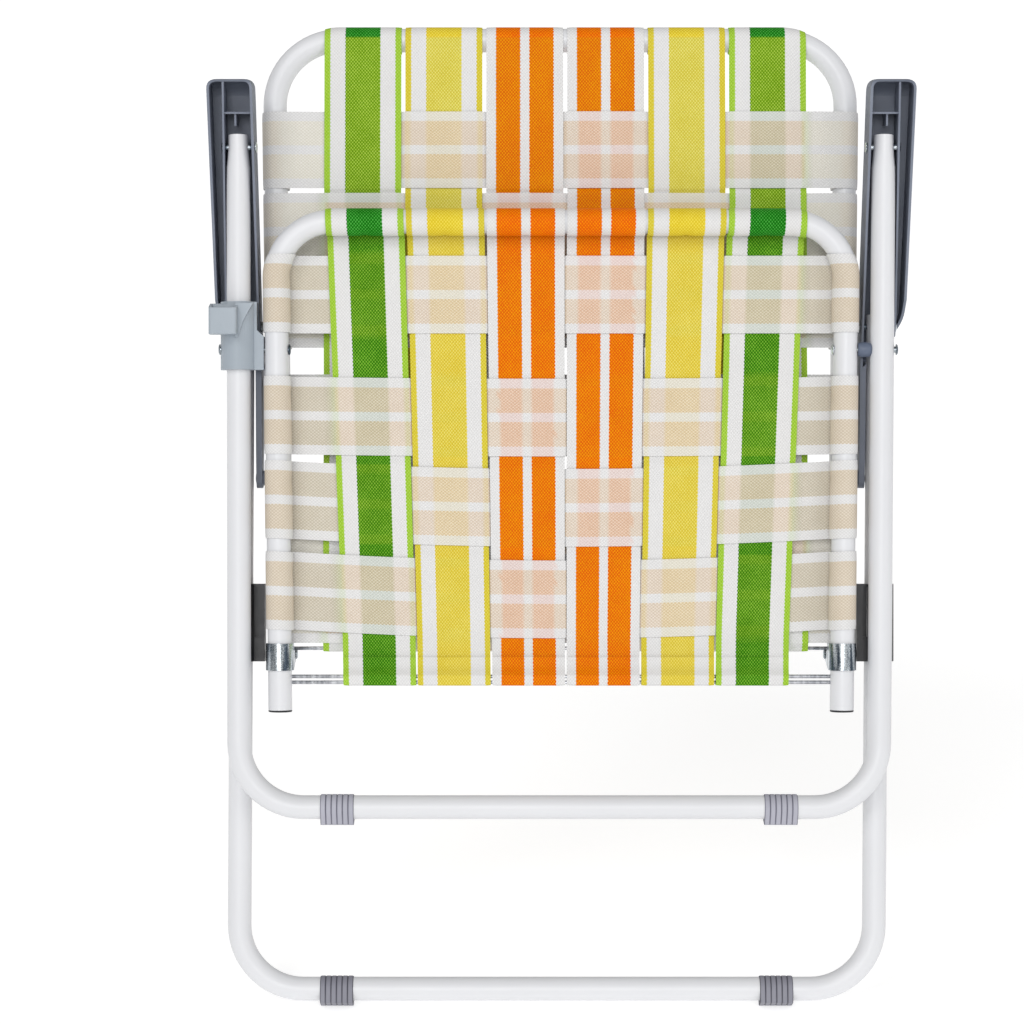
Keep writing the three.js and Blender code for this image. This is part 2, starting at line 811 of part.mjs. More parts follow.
// The lower fold of the back's long straps goes round the back rod.
function backRodFold() {
  const radius = rod_radius + running_gap + web_thickness / 2
  const step = 2 * Math.PI * rod_wrap_share / rod_wrap_steps
  const corner = radius / Math.cos(step / 2)
  const start = 2 * Math.PI * rod_wrap_start_share + step / 2
  const round = Array.from({ length: rod_wrap_steps }, (_, i) => {
    const angle = start + step * i
    return {
      run: back_rod_height - corner * Math.sin(angle),
      depth: -back_rod_depth - corner * Math.cos(angle),
    }
  })
  const tail_depth = -tube_fold_depth + weave_rise + web_thickness + weave_gap
  const tail_run = back_rod_height + radius + tail_length
  return [...round, { run: tail_run, depth: tail_depth }, { run: tail_run + tail_length, depth: tail_depth }]
}

function backLongStrap(column) {
  const points = longPoints({
    column,
    rows: back_rows,
    side: -1,
    base: tube_fold_depth,
    rail: back_length,
    upper: tubeFold(1, -1),
    lower: backRodFold(),
  })
  const bend = (x) => bendAt(x - back_top_half_width + back_bend_radius, back_bend_radius)
  return longStrap(points, backColumn(column), back_length, bend)
}

function seatLongStrap(column) {
  const points = longPoints({
    column,
    rows: seat_rows,
    side: 1,
    base: tube_fold_depth,
    rail: seat_rail_height,
    upper: tubeFold(1, 1),
    lower: seatRodFold(),
  })
  const bend = (x) => bendAt(x - seat_front_half_width + seat_bend_radius, seat_bend_radius)
  return longStrap(points, seatColumn(column), seat_rail_height, bend)
}

const columns = Array.from({ length: long_strap_count }, (_, column) => column)

function backCrossStrap(row) {
  const column_edges = columns.map(backColumn)
  const bend = (z) => bendAt(z - back_length + back_bend_radius, back_bend_radius)
  const run = { row, side: -1, half: backHalf, bend, column_edges, base: tube_fold_depth }
  return crossStrap(crossPoints(run), back_rows[row])
}

function seatCrossStrap(row) {
  const column_edges = columns.map(seatColumn)
  const bend = (z) => bendAt(z - seat_rail_height + seat_bend_radius, seat_bend_radius)
  const run = { row, side: 1, half: seatHalf, bend, column_edges, base: tube_fold_depth }
  return crossStrap(crossPoints(run), seat_rows[row])
}

// A cross rod that sits in the inner walls of two side tubes
function crossRod(half, y, height) {
  const end = half(height) - tube_radius + rod_socket_depth
  return barX(rod_radius, -end, end, y, height, rod_sides)
}

// Places of the armrest's other pivots in its own frame, where Y runs to the rear and Z up
function armPlace(depth, height) {
  const drop = arm_front_pivot_height - height
  return {
    y: depth * Math.sin(arm_tilt) + drop * Math.cos(arm_tilt),
    z: depth * Math.cos(arm_tilt) - drop * Math.sin(arm_tilt),
  }
}

const arm_middle = armPlace(stack_depth, arm_middle_pivot_height)
const arm_rear = armPlace(arm_rear_pivot_depth, arm_rear_pivot_height)
const arm_waist_place = arm_middle.y - arm_waist_ahead
const arm_shoulder_place = arm_waist_place + arm_shoulder_length

// The inner edge of the armrest, which draws in towards the waist
function armInner(y) {
  const share = (y + arm_front_reach) / (arm_waist_place + arm_front_reach)
  const past_share = (y - arm_waist_place) / (arm_shoulder_place - arm_waist_place)
  if (past_share > 0) return arm_waist_inner + (tongue_inner - arm_waist_inner) * past_share
  return arm_front_inner + (arm_waist_inner - arm_front_inner) * share
}

// The moulded armrest of the right side: a hollow channel with a curved outer skirt that
// runs out at the rear leg, a long rib, a cross rib, and a tongue that drops to the back.
function armrest() {
  const top = arm_plate_underside + arm_plate_thickness
  const front = -arm_front_reach
  const rear = arm_rear.y + tongue_half_height
  const plan = (inset) => outline([
    [arm_front_inner + inset, front + inset, arm_corner_radius - inset],
    [arm_front_outer - inset, front + inset, arm_corner_radius - inset],
    [arm_waist_outer - inset, arm_waist_place, arm_shoulder_place - arm_waist_place],
    [tongue_outer - inset, arm_shoulder_place + inset],
    [tongue_outer - inset, rear],
    [tongue_inner + inset, rear],
    [tongue_inner + inset, arm_shoulder_place],
    [arm_waist_inner + inset, arm_waist_place],
  ])
  const nose_radius = 2 * arm_corner_radius
  const side = outline([
    [front, -arm_skirt_drop, arm_corner_radius],
    [arm_waist_place - 2 * arm_skirt_drop, -arm_skirt_drop, nose_radius],
    [arm_middle.y, -arm_skirt_drop, nose_radius],
    [arm_rear.y - 2 * tongue_half_height, arm_rear.z - tongue_half_height, nose_radius],
    [rear, arm_rear.z - tongue_half_height, tongue_half_height],
    [rear, arm_rear.z + tongue_half_height, tongue_half_height],
    [arm_rear.y - tongue_half_height, arm_rear.z + tongue_half_height, nose_radius],
    [arm_shoulder_place + arm_plate_underside, top, nose_radius],
    [front, top, nose_radius],
  ])
  const block = common(
    throughZ(plan(0), -arm_skirt_drop - 2 * overrun, top),
    throughX(side, tongue_inner, arm_front_outer),
  )
  const hollow_end = arm_shoulder_place - arm_wall
  const hollow = outline([
    [arm_front_inner + arm_wall, front + arm_wall, arm_corner_radius - arm_wall],
    [arm_front_outer - arm_wall, front + arm_wall, arm_corner_radius - arm_wall],
    [arm_waist_outer - arm_wall, arm_waist_place, arm_shoulder_place - arm_waist_place],
    [armInner(hollow_end) + arm_wall, hollow_end],
  ])
  const channel = throughZ(hollow, -arm_skirt_drop - 2 * overrun, arm_plate_underside)
  // The rear leg lies along the channel, so the outer skirt runs out to a lip ahead of it.
  const inner_face = tongue_outer + running_gap
  const skirt_end = arm_middle.y - tube_radius
  const run_out = throughX(outline([
    [skirt_end - 2 * arm_skirt_drop, -arm_skirt_drop - overrun],
    [skirt_end - arm_skirt_drop, -arm_skirt_drop + arm_wall, arm_skirt_drop],
    [arm_middle.y + tube_radius, tongue_lip, arm_skirt_drop],
    [rear + overrun, tongue_lip],
    [rear + overrun, -arm_skirt_drop - overrun],
  ]), inner_face, arm_front_outer + overrun)
  const shell = cut(block, [channel, run_out])
  const rib = throughX(outline([
    [front + arm_wall / 2, -arm_skirt_drop + arm_rib_step, arm_rib_step],
    [arm_middle.y - tube_radius, -arm_skirt_drop + arm_rib_step, arm_skirt_drop],
    [arm_middle.y + tube_radius - arm_wall, -rivet_head_radius, rivet_head_radius],
    [arm_middle.y + tube_radius, arm_plate_underside + arm_wall / 2],
    [front + arm_wall / 2, arm_plate_underside + arm_wall / 2],
  ]), arm_rib_inner, arm_rib_inner + arm_rib_thickness)
  const cross = outline([
    [arm_front_inner + arm_wall / 2, -arm_skirt_drop + 2 * arm_rib_step],
    [arm_rib_inner + arm_rib_thickness / 2, -arm_skirt_drop + 2 * arm_rib_step],
    [arm_rib_inner + arm_rib_thickness / 2, arm_plate_underside + arm_wall / 2],
    [arm_front_inner + arm_wall / 2, arm_plate_underside + arm_wall / 2],
  ])
  const cross_rib = throughY(cross, -arm_cross_rib_place - arm_rib_thickness, -arm_cross_rib_place)
  const stub_middle = (arm_front_inner + arm_rib_inner) / 2 + arm_wall
  const stub = throughX(outline([
    [-arm_cross_rib_place - arm_rib_thickness / 2, -arm_skirt_drop + 3 * arm_rib_step],
    [arm_stub_rib_length - arm_cross_rib_place, -arm_skirt_drop + 3 * arm_rib_step],
    [arm_stub_rib_length - arm_cross_rib_place, arm_plate_underside + arm_wall / 2],
    [-arm_cross_rib_place - arm_rib_thickness / 2, arm_plate_underside + arm_wall / 2],
  ]), stub_middle, stub_middle + arm_rib_thickness)
  const boss_face = backHalf(back_pivot_height + tongue_half_height) + tube_radius + running_gap
  const boss = barX(tongue_half_height - arm_wall, boss_face, tongue_inner + arm_wall, arm_rear.y, arm_rear.z)
  const holes = [
    holeX(rivet_radius, tongue_inner - tube_radius, arm_rib_inner + 2 * arm_wall, 0, 0),
    holeX(rivet_radius, tongue_inner - tube_radius, arm_rib_inner + 2 * arm_wall,
      arm_middle.y, arm_middle.z),
    holeX(rivet_radius, tongue_inner - tube_radius, arm_rib_inner, arm_rear.y, arm_rear.z),
  ]
  return cut(join([shell, rib, cross_rib, stub, boss]), holes)
}

// The slide of the right side: a sleeve on the rear leg with a lug that reaches the hinge pin.
function legSlide() {
  const bore = (tube_radius + running_gap) / Math.cos(Math.PI / tube_sides)
  const shell = bore + slide_wall
  const centre = rear_leg_half_width
  const [low, high] = [hinge_height - slide_below_pin, hinge_height + slide_above_pin]
  const ring_outline = new THREE.Shape()
  const lug_angle = Math.asin(slide_lug_half_depth / shell)
  ring_outline.absarc(centre, stack_depth, shell, Math.PI + lug_angle, 3 * Math.PI - lug_angle, false)
  ring_outline.lineTo(slide_lug_inner, stack_depth + slide_lug_half_depth)
  ring_outline.lineTo(slide_lug_inner, stack_depth - slide_lug_half_depth)
  ring_outline.closePath()
  const body = throughZ(ring_outline, low, high, slide_steps)
  const hole = new THREE.CylinderGeometry(bore, bore, high - low + 2 * overrun, tube_sides)
  hole.rotateX(Math.PI / 2).translate(centre, stack_depth, (low + high) / 2)
  // A curved relief on the front leaves the lug standing as a lever beside the sleeve.
  const relief_left = centre - shell
  const relief = outline([
    [relief_left, high - slide_wall],
    [relief_left - slide_relief_width / 2, hinge_height + slide_above_pin / 2, slide_above_pin / 4],
    [relief_left - slide_relief_width / 3, hinge_height + slide_above_pin / 4],
    [relief_left + slide_relief_width, hinge_height + slide_above_pin / 4],
    [relief_left + slide_relief_width, high - slide_wall],
  ])
  const front = stack_depth - shell
  const relief_end = stack_depth - slide_lug_half_depth + slide_relief_depth
  const relief_cut = throughY(relief, front - overrun, relief_end)
  return cut(body, [hole, relief_cut])
}

// The saddle clamp of the right side: sheet steel folded round the seat tube, with two ears
// that straddle the back tube's end and hold the hinge pin.
function seatClamp() {
  const centre = seatHalf(hinge_height)
  const inner = tube_radius + clamp_gap
  const outer = inner + clamp_thickness
  const ear_end = stack_depth + clamp_ear_radius
  const strip = new THREE.Shape()
  strip.moveTo(centre + outer, ear_end)
  strip.lineTo(centre + outer, 0)
  strip.absarc(centre, 0, outer, 0, -Math.PI, true)
  strip.lineTo(centre - outer, ear_end)
  strip.lineTo(centre - inner, ear_end)
  strip.lineTo(centre - inner, 0)
  strip.absarc(centre, 0, inner, -Math.PI, 0, false)
  strip.lineTo(centre + inner, ear_end)
  strip.closePath()
  const [low, high] = [hinge_height - clamp_below_pin, hinge_height + clamp_above_pin]
  const folded = throughZ(strip, low, high, clamp_steps)
  const side = outline([
    [-outer - overrun, low],
    [clamp_shoulder, low],
    [ear_end, hinge_height - clamp_ear_radius, clamp_ear_radius],
    [ear_end, hinge_height + clamp_ear_radius, clamp_ear_radius],
    [stack_depth - clamp_neck_start, hinge_height + clamp_ear_radius, clamp_thickness],
    [stack_depth - clamp_neck_start - clamp_thickness, hinge_height + clamp_neck_height],
    [stack_depth - clamp_neck_end, hinge_height + clamp_neck_height, clamp_ear_radius],
    [clamp_shoulder, high],
    [-outer - overrun, high],
  ])
  const shaped = common(folded, throughX(side, centre - 2 * outer, centre + 2 * outer))
  return cut(shaped, [holeX(pin_radius, centre - 2 * outer, centre + 2 * outer, stack_depth,
    hinge_height)])
}

function hingePin() {
  const centre = seatHalf(hinge_height)
  return rivet({
    outer: centre + pin_reach,
    inner: centre - pin_reach,
    radius: pin_radius,
    head_radius: pin_head_radius,
    head_height: pin_head_height,
    inner_head: true,
    y: stack_depth,
    z: hinge_height,
  })
}

function pivotSpacer() {
  const from = seat_pivot_face + running_gap
  const to = from + spacer_length
  const middle = (from + to) / 2
  const bore = rivet_radius + running_gap
  const end_radius = spacer_radius - spacer_waist
  return turnedX([
    [from, bore],
    [from, end_radius],
    [(from + middle) / 2, spacer_radius],
    [(middle + to) / 2, spacer_radius],
    [to, end_radius],
    [to, bore],
    [from, bore],
  ], 0, seat_pivot_height, tube_sides)
}

// Body of the cup holder socket, in the plane across the leg
function socketShell() {
  const shell = tube_radius + running_gap + socket_shell_wall
  const half = front_leg_half_width
  const inner_edge = seat_pivot_face + 2 * running_gap
  const section = new THREE.Shape()
  const back_angle = Math.asin(socket_back_depth / shell)
  const wing_angle = Math.asin(socket_wing_half_depth / shell)
  section.absarc(half, 0, shell, back_angle, -Math.PI + wing_angle, true)
  section.lineTo(inner_edge, -socket_wing_half_depth)
  section.lineTo(inner_edge, socket_wing_half_depth)
  section.lineTo(half - tube_radius, socket_back_depth)
  section.closePath()
  const [low, high] = [seat_pivot_height - socket_below_pivot, seat_pivot_height + socket_above_pivot]
  const column = throughZ(section, low, high, socket_steps)
  const shoulder = seat_pivot_height + socket_shoulder_above_pivot
  const front_view = outline([
    [inner_edge - overrun, low],
    [half + 2 * shell, low],
    [half + 2 * shell, high],
    [socket_neck_inner, high],
    [socket_neck_inner, shoulder + socket_shoulder_slope],
    [inner_edge, shoulder],
    [inner_edge - overrun, shoulder],
  ])
  return common(column, throughY(front_view, -2 * shell, 2 * shell))
}

// The cup holder socket, modelled on the right and mirrored to the left leg.
function cupHolderSocket() {
  const top = seat_pivot_height + pocket_above_pivot
  const floor = top - pocket_height
  const back = -tube_radius - running_gap
  const walls = outline([
    [pocket_inner, back],
    [pocket_inner, -pocket_front_depth, pocket_corner_radius],
    [pocket_outer, -pocket_front_depth, pocket_corner_radius],
    [pocket_outer, back],
  ])
  const space = outline([
    [pocket_inner + socket_wall, back - socket_shell_wall / 2],
    [pocket_inner + socket_wall, -pocket_front_depth + socket_wall, pocket_corner_radius / 2],
    [pocket_outer - socket_wall, -pocket_front_depth + socket_wall, pocket_corner_radius / 2],
    [pocket_outer - socket_wall, back - socket_shell_wall / 2],
  ])
  const rim = throughX(outline([
    [-pocket_front_depth - overrun, floor - overrun],
    [-pocket_front_depth - overrun, top - pocket_rim_fall],
    [back, top],
    [back, floor],
    [-pocket_front_depth, floor],
    [-pocket_front_depth, floor - overrun],
  ]), pocket_inner - overrun, pocket_outer + overrun)
  const box = common(throughZ(walls, floor, top), rim)
  const fillet = throughY(outline([
    [pocket_inner + socket_wall, top],
    [socket_neck_inner + socket_wall, top],
    [(socket_neck_inner + pocket_inner) / 2 + socket_wall, (top + floor) / 2, pocket_height],
    [pocket_inner, floor - socket_wall],
    [pocket_inner + socket_wall, floor - socket_wall],
  ]), back - socket_shell_wall - socket_wall, back)
  const leg_end = seat_pivot_height + socket_above_pivot + overrun
  const bore = (tube_radius + running_gap) / Math.cos(Math.PI / tube_sides)
  const leg = new THREE.CylinderGeometry(bore, bore, 2 * (socket_above_pivot + overrun), tube_sides)
  leg.rotateX(Math.PI / 2).translate(front_leg_half_width, 0, leg_end - socket_above_pivot - overrun)
  const open_back = throughZ(outline([
    [front_leg_half_width - bore, 0],
    [front_leg_half_width + bore, 0],
    [front_leg_half_width + bore, 2 * bore],
    [front_leg_half_width - bore, 2 * bore],
  ]), seat_pivot_height - 2 * socket_below_pivot, leg_end)
  const inside = throughZ(space, floor + pocket_floor, top + overrun)
  const rivet_hole = holeX(rivet_radius, seat_pivot_face - overrun,
    front_leg_half_width + 2 * tube_radius + overrun, 0, seat_pivot_height)
  return cut(join([socketShell(), box, fillet]), [leg, open_back, inside, rivet_hole])
}

// Rivets of the right side
function seatPivotRivet(outer) {
  return rivet({
    outer,
    inner: seat_pivot_face + running_gap,
    radius: rivet_radius,
    head_radius: rivet_head_radius,
    head_height: rivet_head_height,
    inner_head: false,
    y: 0,
    z: seat_pivot_height,
  })
}

function seatInnerRivet() {
  const half = seatHalf(seat_pivot_height)
  const face = half - tube_radius - running_gap
  const head = dome(face, -1, rivet_head_radius, rivet_head_height).reverse()
  return turnedX([...head, [face, rivet_radius], [seat_pivot_face, rivet_radius], [seat_pivot_face, 0]],
    0, seat_pivot_height)
}

function armRivet(place, outer, inner, head_height = rivet_head_height) {
  return rivet({
    outer,
    inner,
    radius: rivet_radius,
    head_radius: rivet_head_radius,
    head_height,
    inner_head: true,
    y: place.y,
    z: place.z,
  })
}

// A plug in the open end of a seat tube
function tubePlug() {
  const spigot = (tube_radius - tube_wall) * Math.cos(Math.PI / bore_sides) - running_gap
  const profile = [
    [0, 0],
    [0, tube_radius],
    [plug_cap_thickness, tube_radius],
    [plug_cap_thickness, spigot],
    [plug_cap_thickness + plug_spigot_length, spigot],
    [plug_cap_thickness + plug_spigot_length, 0],
  ]
  const plug = turnedX(profile, 0, 0, tube_sides).rotateY(-Math.PI / 2)
  const drop = plug_cap_thickness + running_gap
  return plug.translate(seatHalf(seat_end_height), 0, seat_end_height - drop)
}

// Finishes
const painted = new THREE.MeshStandardMaterial({ color: 0xe6e6eb, roughness: 0.35, metalness: 0.1 })
const zinc = new THREE.MeshStandardMaterial({ color: 0xb4b8bd, roughness: 0.3, metalness: 0.9 })
const arm_plastic = new THREE.MeshStandardMaterial({ color: 0x565d6c, roughness: 0.5, metalness: 0 })
const socket_plastic = new THREE.MeshStandardMaterial({ color: 0x969ea5, roughness: 0.5, metalness: 0 })
const foot_plastic = new THREE.MeshStandardMaterial({ color: 0x8f8f98, roughness: 0.6, metalness: 0 })
const spacer_plastic = new THREE.MeshStandardMaterial({ color: 0x646e82, roughness: 0.4, metalness: 0 })
const dark_plastic = new THREE.MeshStandardMaterial({ color: 0x1b1b1f, roughness: 0.45, metalness: 0 })
const web_colours = [0x55a51c, 0xe6d750, 0xf57d0a, 0xf57d0a, 0xe6d750, 0x55a51c]
const long_webs = web_colours.map((color) => new THREE.MeshStandardMaterial({ color, roughness: 0.7 }))
const cross_web = new THREE.MeshStandardMaterial({ color: 0xe6cdaa, roughness: 0.7 })

function piece(name, geometry, material) {
  const mesh = new THREE.Mesh(outward(geometry), material)
  mesh.geometry.computeVertexNormals()
  mesh.name = name
  return mesh
}

// The same piece on both sides, made for the right and mirrored to the left
function pair(name, geometry, material) {
  return [piece(`${name}_right`, geometry, material), piece(`${name}_left`, mirrored(geometry), material)]
}

const stack = new THREE.Group()

// Front leg, which the seat and the armrests turn on
stack.add(piece('front_leg_frame', frontLegFrame(), painted))
stack.add(...pair('front_foot', foot(vec(foot_place, 0, front_rail_height), lean_angle), foot_plastic))
stack.add(piece('pivot_spacer_right', pivotSpacer(), spacer_plastic))
stack.add(piece('cup_holder_socket', mirrored(cupHolderSocket()), socket_plastic))
const leg_face = front_leg_half_width + tube_radius + running_gap
const socket_face = leg_face + socket_shell_wall + running_gap
stack.add(piece('seat_pivot_rivet_right', seatPivotRivet(leg_face), zinc))
stack.add(piece('seat_pivot_rivet_left', mirrored(seatPivotRivet(socket_face)), zinc))

// Rear leg and its slides
const rear = new THREE.Group()
rear.position.set(0, stack_depth, 0)
rear.add(piece('rear_leg_frame', rearLegFrame(), painted))
rear.add(...pair('rear_foot', foot(vec(foot_place, 0, rear_rail_height), -rear_sole_angle), foot_plastic))
stack.add(rear)
stack.add(...pair('leg_slide', legSlide(), dark_plastic))

// Armrests, hung on the front pivots
const arms = new THREE.Group()
arms.position.set(0, 0, arm_front_pivot_height)
arms.rotation.x = arm_tilt - Math.PI / 2
arms.add(...pair('armrest', armrest(), arm_plastic))
const rib_face = arm_rib_inner + arm_rib_thickness + running_gap
const front_inner = armInner(rivet_head_radius) - running_gap
const middle_inner = armInner(arm_middle.y + rivet_head_radius) - running_gap
const rear_inner = backHalf(back_pivot_height) - tube_radius - running_gap
arms.add(...pair('arm_front_rivet', armRivet({ y: 0, z: 0 }, rib_face, front_inner), zinc))
arms.add(...pair('arm_middle_rivet', armRivet(arm_middle, rib_face, middle_inner), zinc))
const low_head = (rear_leg_half_width - tube_radius - tongue_outer) / 2
const rear_rivet = armRivet(arm_rear, tongue_outer + running_gap, rear_inner, low_head)
arms.add(...pair('arm_rear_rivet', rear_rivet, zinc))
stack.add(arms)

// Back, hung on the hinge pins
const back = new THREE.Group()
back.position.set(0, stack_depth, hinge_height)
back.rotation.x = -back_tilt
back.add(piece('back_frame', backFrame(), painted))
back.add(piece('back_rod', crossRod(backHalf, -back_rod_depth, back_rod_height), zinc))
for (const column of columns) {
  back.add(piece(`back_web_long_${column + 1}`, backLongStrap(column), long_webs[column]))
}
back_rows.forEach((_, row) => back.add(piece(`back_web_cross_${row + 1}`, backCrossStrap(row), cross_web)))
stack.add(back)

// Seat, with its clamps and hinge pins
stack.add(piece('seat_frame', seatFrame(), painted))
stack.add(...pair('seat_clamp', seatClamp(), zinc))
stack.add(...pair('hinge_pin', hingePin(), zinc))
stack.add(...pair('seat_inner_rivet', seatInnerRivet(), zinc))
stack.add(...pair('seat_tube_plug', tubePlug(), dark_plastic))
stack.add(piece('seat_rod_lower', crossRod(seatHalf, 0, seat_rod_height), zinc))
stack.add(piece('seat_rod_upper', crossRod(seatHalf, 0, seat_rod_height + seat_rod_pitch), zinc))
for (const column of columns) {
  stack.add(piece(`seat_web_long_${column + 1}`, seatLongStrap(column), long_webs[column]))
}
seat_rows.forEach((_, row) => stack.add(piece(`seat_web_cross_${row + 1}`, seatCrossStrap(row), cross_web)))

// The stack leans back by the front leg's slope, and its origin lies below its middle.
stack.rotation.x = -lean_angle
stack.updateMatrixWorld(true)
const extent = new THREE.Box3().setFromObject(stack, true)
const middle = extent.getCenter(vec(0, 0, 0))
stack.position.set(-middle.x, -middle.y, -extent.min.z)

const group = new THREE.Group()
group.add(stack)

export default group
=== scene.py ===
# %% [markdown]
# # A folding webbed lawn chair, folded flat
#
# The chair is two leg loops, a seat loop and a back loop of white tube, joined by rivets in
# moulded armrests, with striped straps woven across the seat and the back. It stands as
# it does against a wall, leaning back. Each step below builds one kind of piece over its
# place in the frame, then gives it a finish.

import json
import math
from types import SimpleNamespace

import bpy
import numpy as np
from mathutils import Matrix, Vector, noise


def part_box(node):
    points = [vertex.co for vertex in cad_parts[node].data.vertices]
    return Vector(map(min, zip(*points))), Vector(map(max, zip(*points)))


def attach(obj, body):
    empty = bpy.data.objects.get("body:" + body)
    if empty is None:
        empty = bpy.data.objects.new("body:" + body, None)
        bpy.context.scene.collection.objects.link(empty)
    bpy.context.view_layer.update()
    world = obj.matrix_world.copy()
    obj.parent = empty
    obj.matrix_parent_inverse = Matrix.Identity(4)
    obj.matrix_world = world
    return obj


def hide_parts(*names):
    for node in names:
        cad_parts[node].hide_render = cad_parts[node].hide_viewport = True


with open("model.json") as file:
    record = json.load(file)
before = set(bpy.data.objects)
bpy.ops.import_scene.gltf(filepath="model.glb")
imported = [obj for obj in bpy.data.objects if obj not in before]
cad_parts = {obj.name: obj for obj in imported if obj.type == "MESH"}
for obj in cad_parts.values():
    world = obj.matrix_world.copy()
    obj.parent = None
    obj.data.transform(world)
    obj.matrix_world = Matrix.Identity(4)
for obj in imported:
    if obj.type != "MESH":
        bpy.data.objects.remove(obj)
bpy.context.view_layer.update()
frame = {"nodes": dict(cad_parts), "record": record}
joints = {joint["name"]: joint for joint in frame["record"]["behaviour"]["joints"]}

# %% [markdown]
# ## Places
#
# The folded stack is easiest to describe standing straight: X across the chair, Y back
# through the stack, Z up it, in millimetres. One matrix then leans the stack and puts its
# front pivot where the frame has it. The back loop and the armrests are tilted a little in
# the stack, so they get matrices of their own.

# %% Places
LEAN = math.radians(17.5)
ARM_TILT = math.radians(8.5)
FRONT_PIVOT, HINGE, SEAT_PIVOT = 802, 329.5, 614
DEPTH, REAR_PIVOT, REAR_PIVOT_DEPTH = 28, 495, 34
BACK_TILT = math.atan2(REAR_PIVOT_DEPTH - DEPTH, REAR_PIVOT - HINGE)


def shift(x, y, z):
    return Matrix.Translation((x, y, z))


def turn(angle):
    return Matrix.Rotation(angle, 4, "X")


in_stack = shift(*joints["fold"]["pos_m"]) @ turn(-LEAN) @ Matrix.Scale(0.001, 4)
in_stack = in_stack @ shift(0, 0, -FRONT_PIVOT)
in_back = in_stack @ shift(0, DEPTH, HINGE) @ turn(-BACK_TILT)
in_arms = in_stack @ shift(0, 0, FRONT_PIVOT) @ turn(ARM_TILT - math.pi / 2)
in_rear = in_stack @ shift(0, DEPTH, 0)
print("stack stands at", tuple(round(x, 4) for x in in_stack.translation))

# %% [markdown]
# ## Camera
#
# The view is square to the leaning stack, from in front and a little above. A long lens far
# away keeps the near and far loops almost the same size.

# %% Camera
VIEW_DISTANCE, VIEW_WIDTH = 2600, 952.3
VIEW_ACROSS, VIEW_UP = -45.6, 463
SENSOR = 36
camera_data = bpy.data.cameras.new("camera")
camera_data.sensor_width = SENSOR
camera_data.lens = SENSOR * VIEW_DISTANCE / VIEW_WIDTH
camera_data.clip_start, camera_data.clip_end = 0.05, 60
camera = bpy.data.objects.new("camera", camera_data)
bpy.context.collection.objects.link(camera)
camera.location = in_stack @ Vector((VIEW_ACROSS, -VIEW_DISTANCE, VIEW_UP))
camera.rotation_euler = (math.pi / 2 - LEAN, 0, 0)
bpy.context.scene.camera = camera
print("lens", round(camera_data.lens, 1), "mm")

# %% [markdown]
# ## Light and floor
#
# A pale floor and an even grey sky give the plain look of a catalogue picture. Lights that
# are far away light the near and far floor alike: a soft one from the upper left front
# gives the tubes their bright line and their grey edge, a weaker one fills from the right,
# and one from beside the camera keeps the layers behind from going dark.

# %% Light and floor
world = bpy.data.worlds.new("studio")
bpy.context.scene.world = world
world.use_nodes = True
SKY_STRENGTH = 0.41
sky = world.node_tree.nodes["Background"]
sky.inputs["Color"].default_value = (1, 1, 1, 1)
sky.inputs["Strength"].default_value = SKY_STRENGTH
bpy.context.scene.view_settings.view_transform = "Standard"


def soft_light(name, toward, softness, power):
    """A light that shines one way from everywhere, blurred over an angle in degrees."""
    data = bpy.data.lights.new(name, "SUN")
    data.angle, data.energy = math.radians(softness), power
    light = bpy.data.objects.new(name, data)
    light.rotation_euler = Vector(toward).to_track_quat("-Z", "Y").to_euler()
    bpy.context.collection.objects.link(light)


soft_light("key", (0.42, 0.62, -0.72), 24, 0.68)
soft_light("fill", (-0.75, 0.55, -0.5), 40, 0.5)
soft_light("front", (0.05, 0.92, -0.4), 24, 0.8)
floor_mesh = bpy.data.meshes.new("floor")
FLOOR = 30
floor_mesh.from_pydata(
    [(-FLOOR, -FLOOR, 0), (FLOOR, -FLOOR, 0), (FLOOR, FLOOR, 0), (-FLOOR, FLOOR, 0)],
    [],
    [(0, 1, 2, 3)],
)
floor = bpy.data.objects.new("floor", floor_mesh)
bpy.context.collection.objects.link(floor)
print("three lights, and a floor", 2 * FLOOR, "m wide")

# %% [markdown]
# ## Shader maths
#
# A finish is easier to read as an expression than as a web of nodes. A Wire is one output
# socket, and adding or multiplying Wires makes the Math nodes.

# %% Shader maths
class Wire:
    """One output socket of a finish, with the arithmetic that a finish needs."""

    def __init__(self, finish, socket):
        self.finish, self.socket = finish, socket

    def maths(self, operation, *values):
        sockets = dict(enumerate(values))
        return self.finish.node("ShaderNodeMath", {"operation": operation}, sockets)

    def __add__(self, other):
        return self.maths("ADD", self, other)

    def __sub__(self, other):
        return self.maths("SUBTRACT", self, other)

    def __rsub__(self, other):
        return self.maths("SUBTRACT", other, self)

    def __mul__(self, other):
        return self.maths("MULTIPLY", self, other)

    def __gt__(self, other):
        return self.maths("GREATER_THAN", self, other)

    def __abs__(self):
        return self.maths("ABSOLUTE", self)

    def sine(self):
        return self.maths("SINE", self)

    def clamped(self):
        return self.finish.node("ShaderNodeClamp", {}, {0: self})

    __radd__ = __add__
    __rmul__ = __mul__


# %% [markdown]
# ## One material
#
# A Finish is one material. Its constants go straight on the shader's sockets, its node method
# makes any node with its settings and inputs, and what changes over a surface is painted on
# the shader at the end.

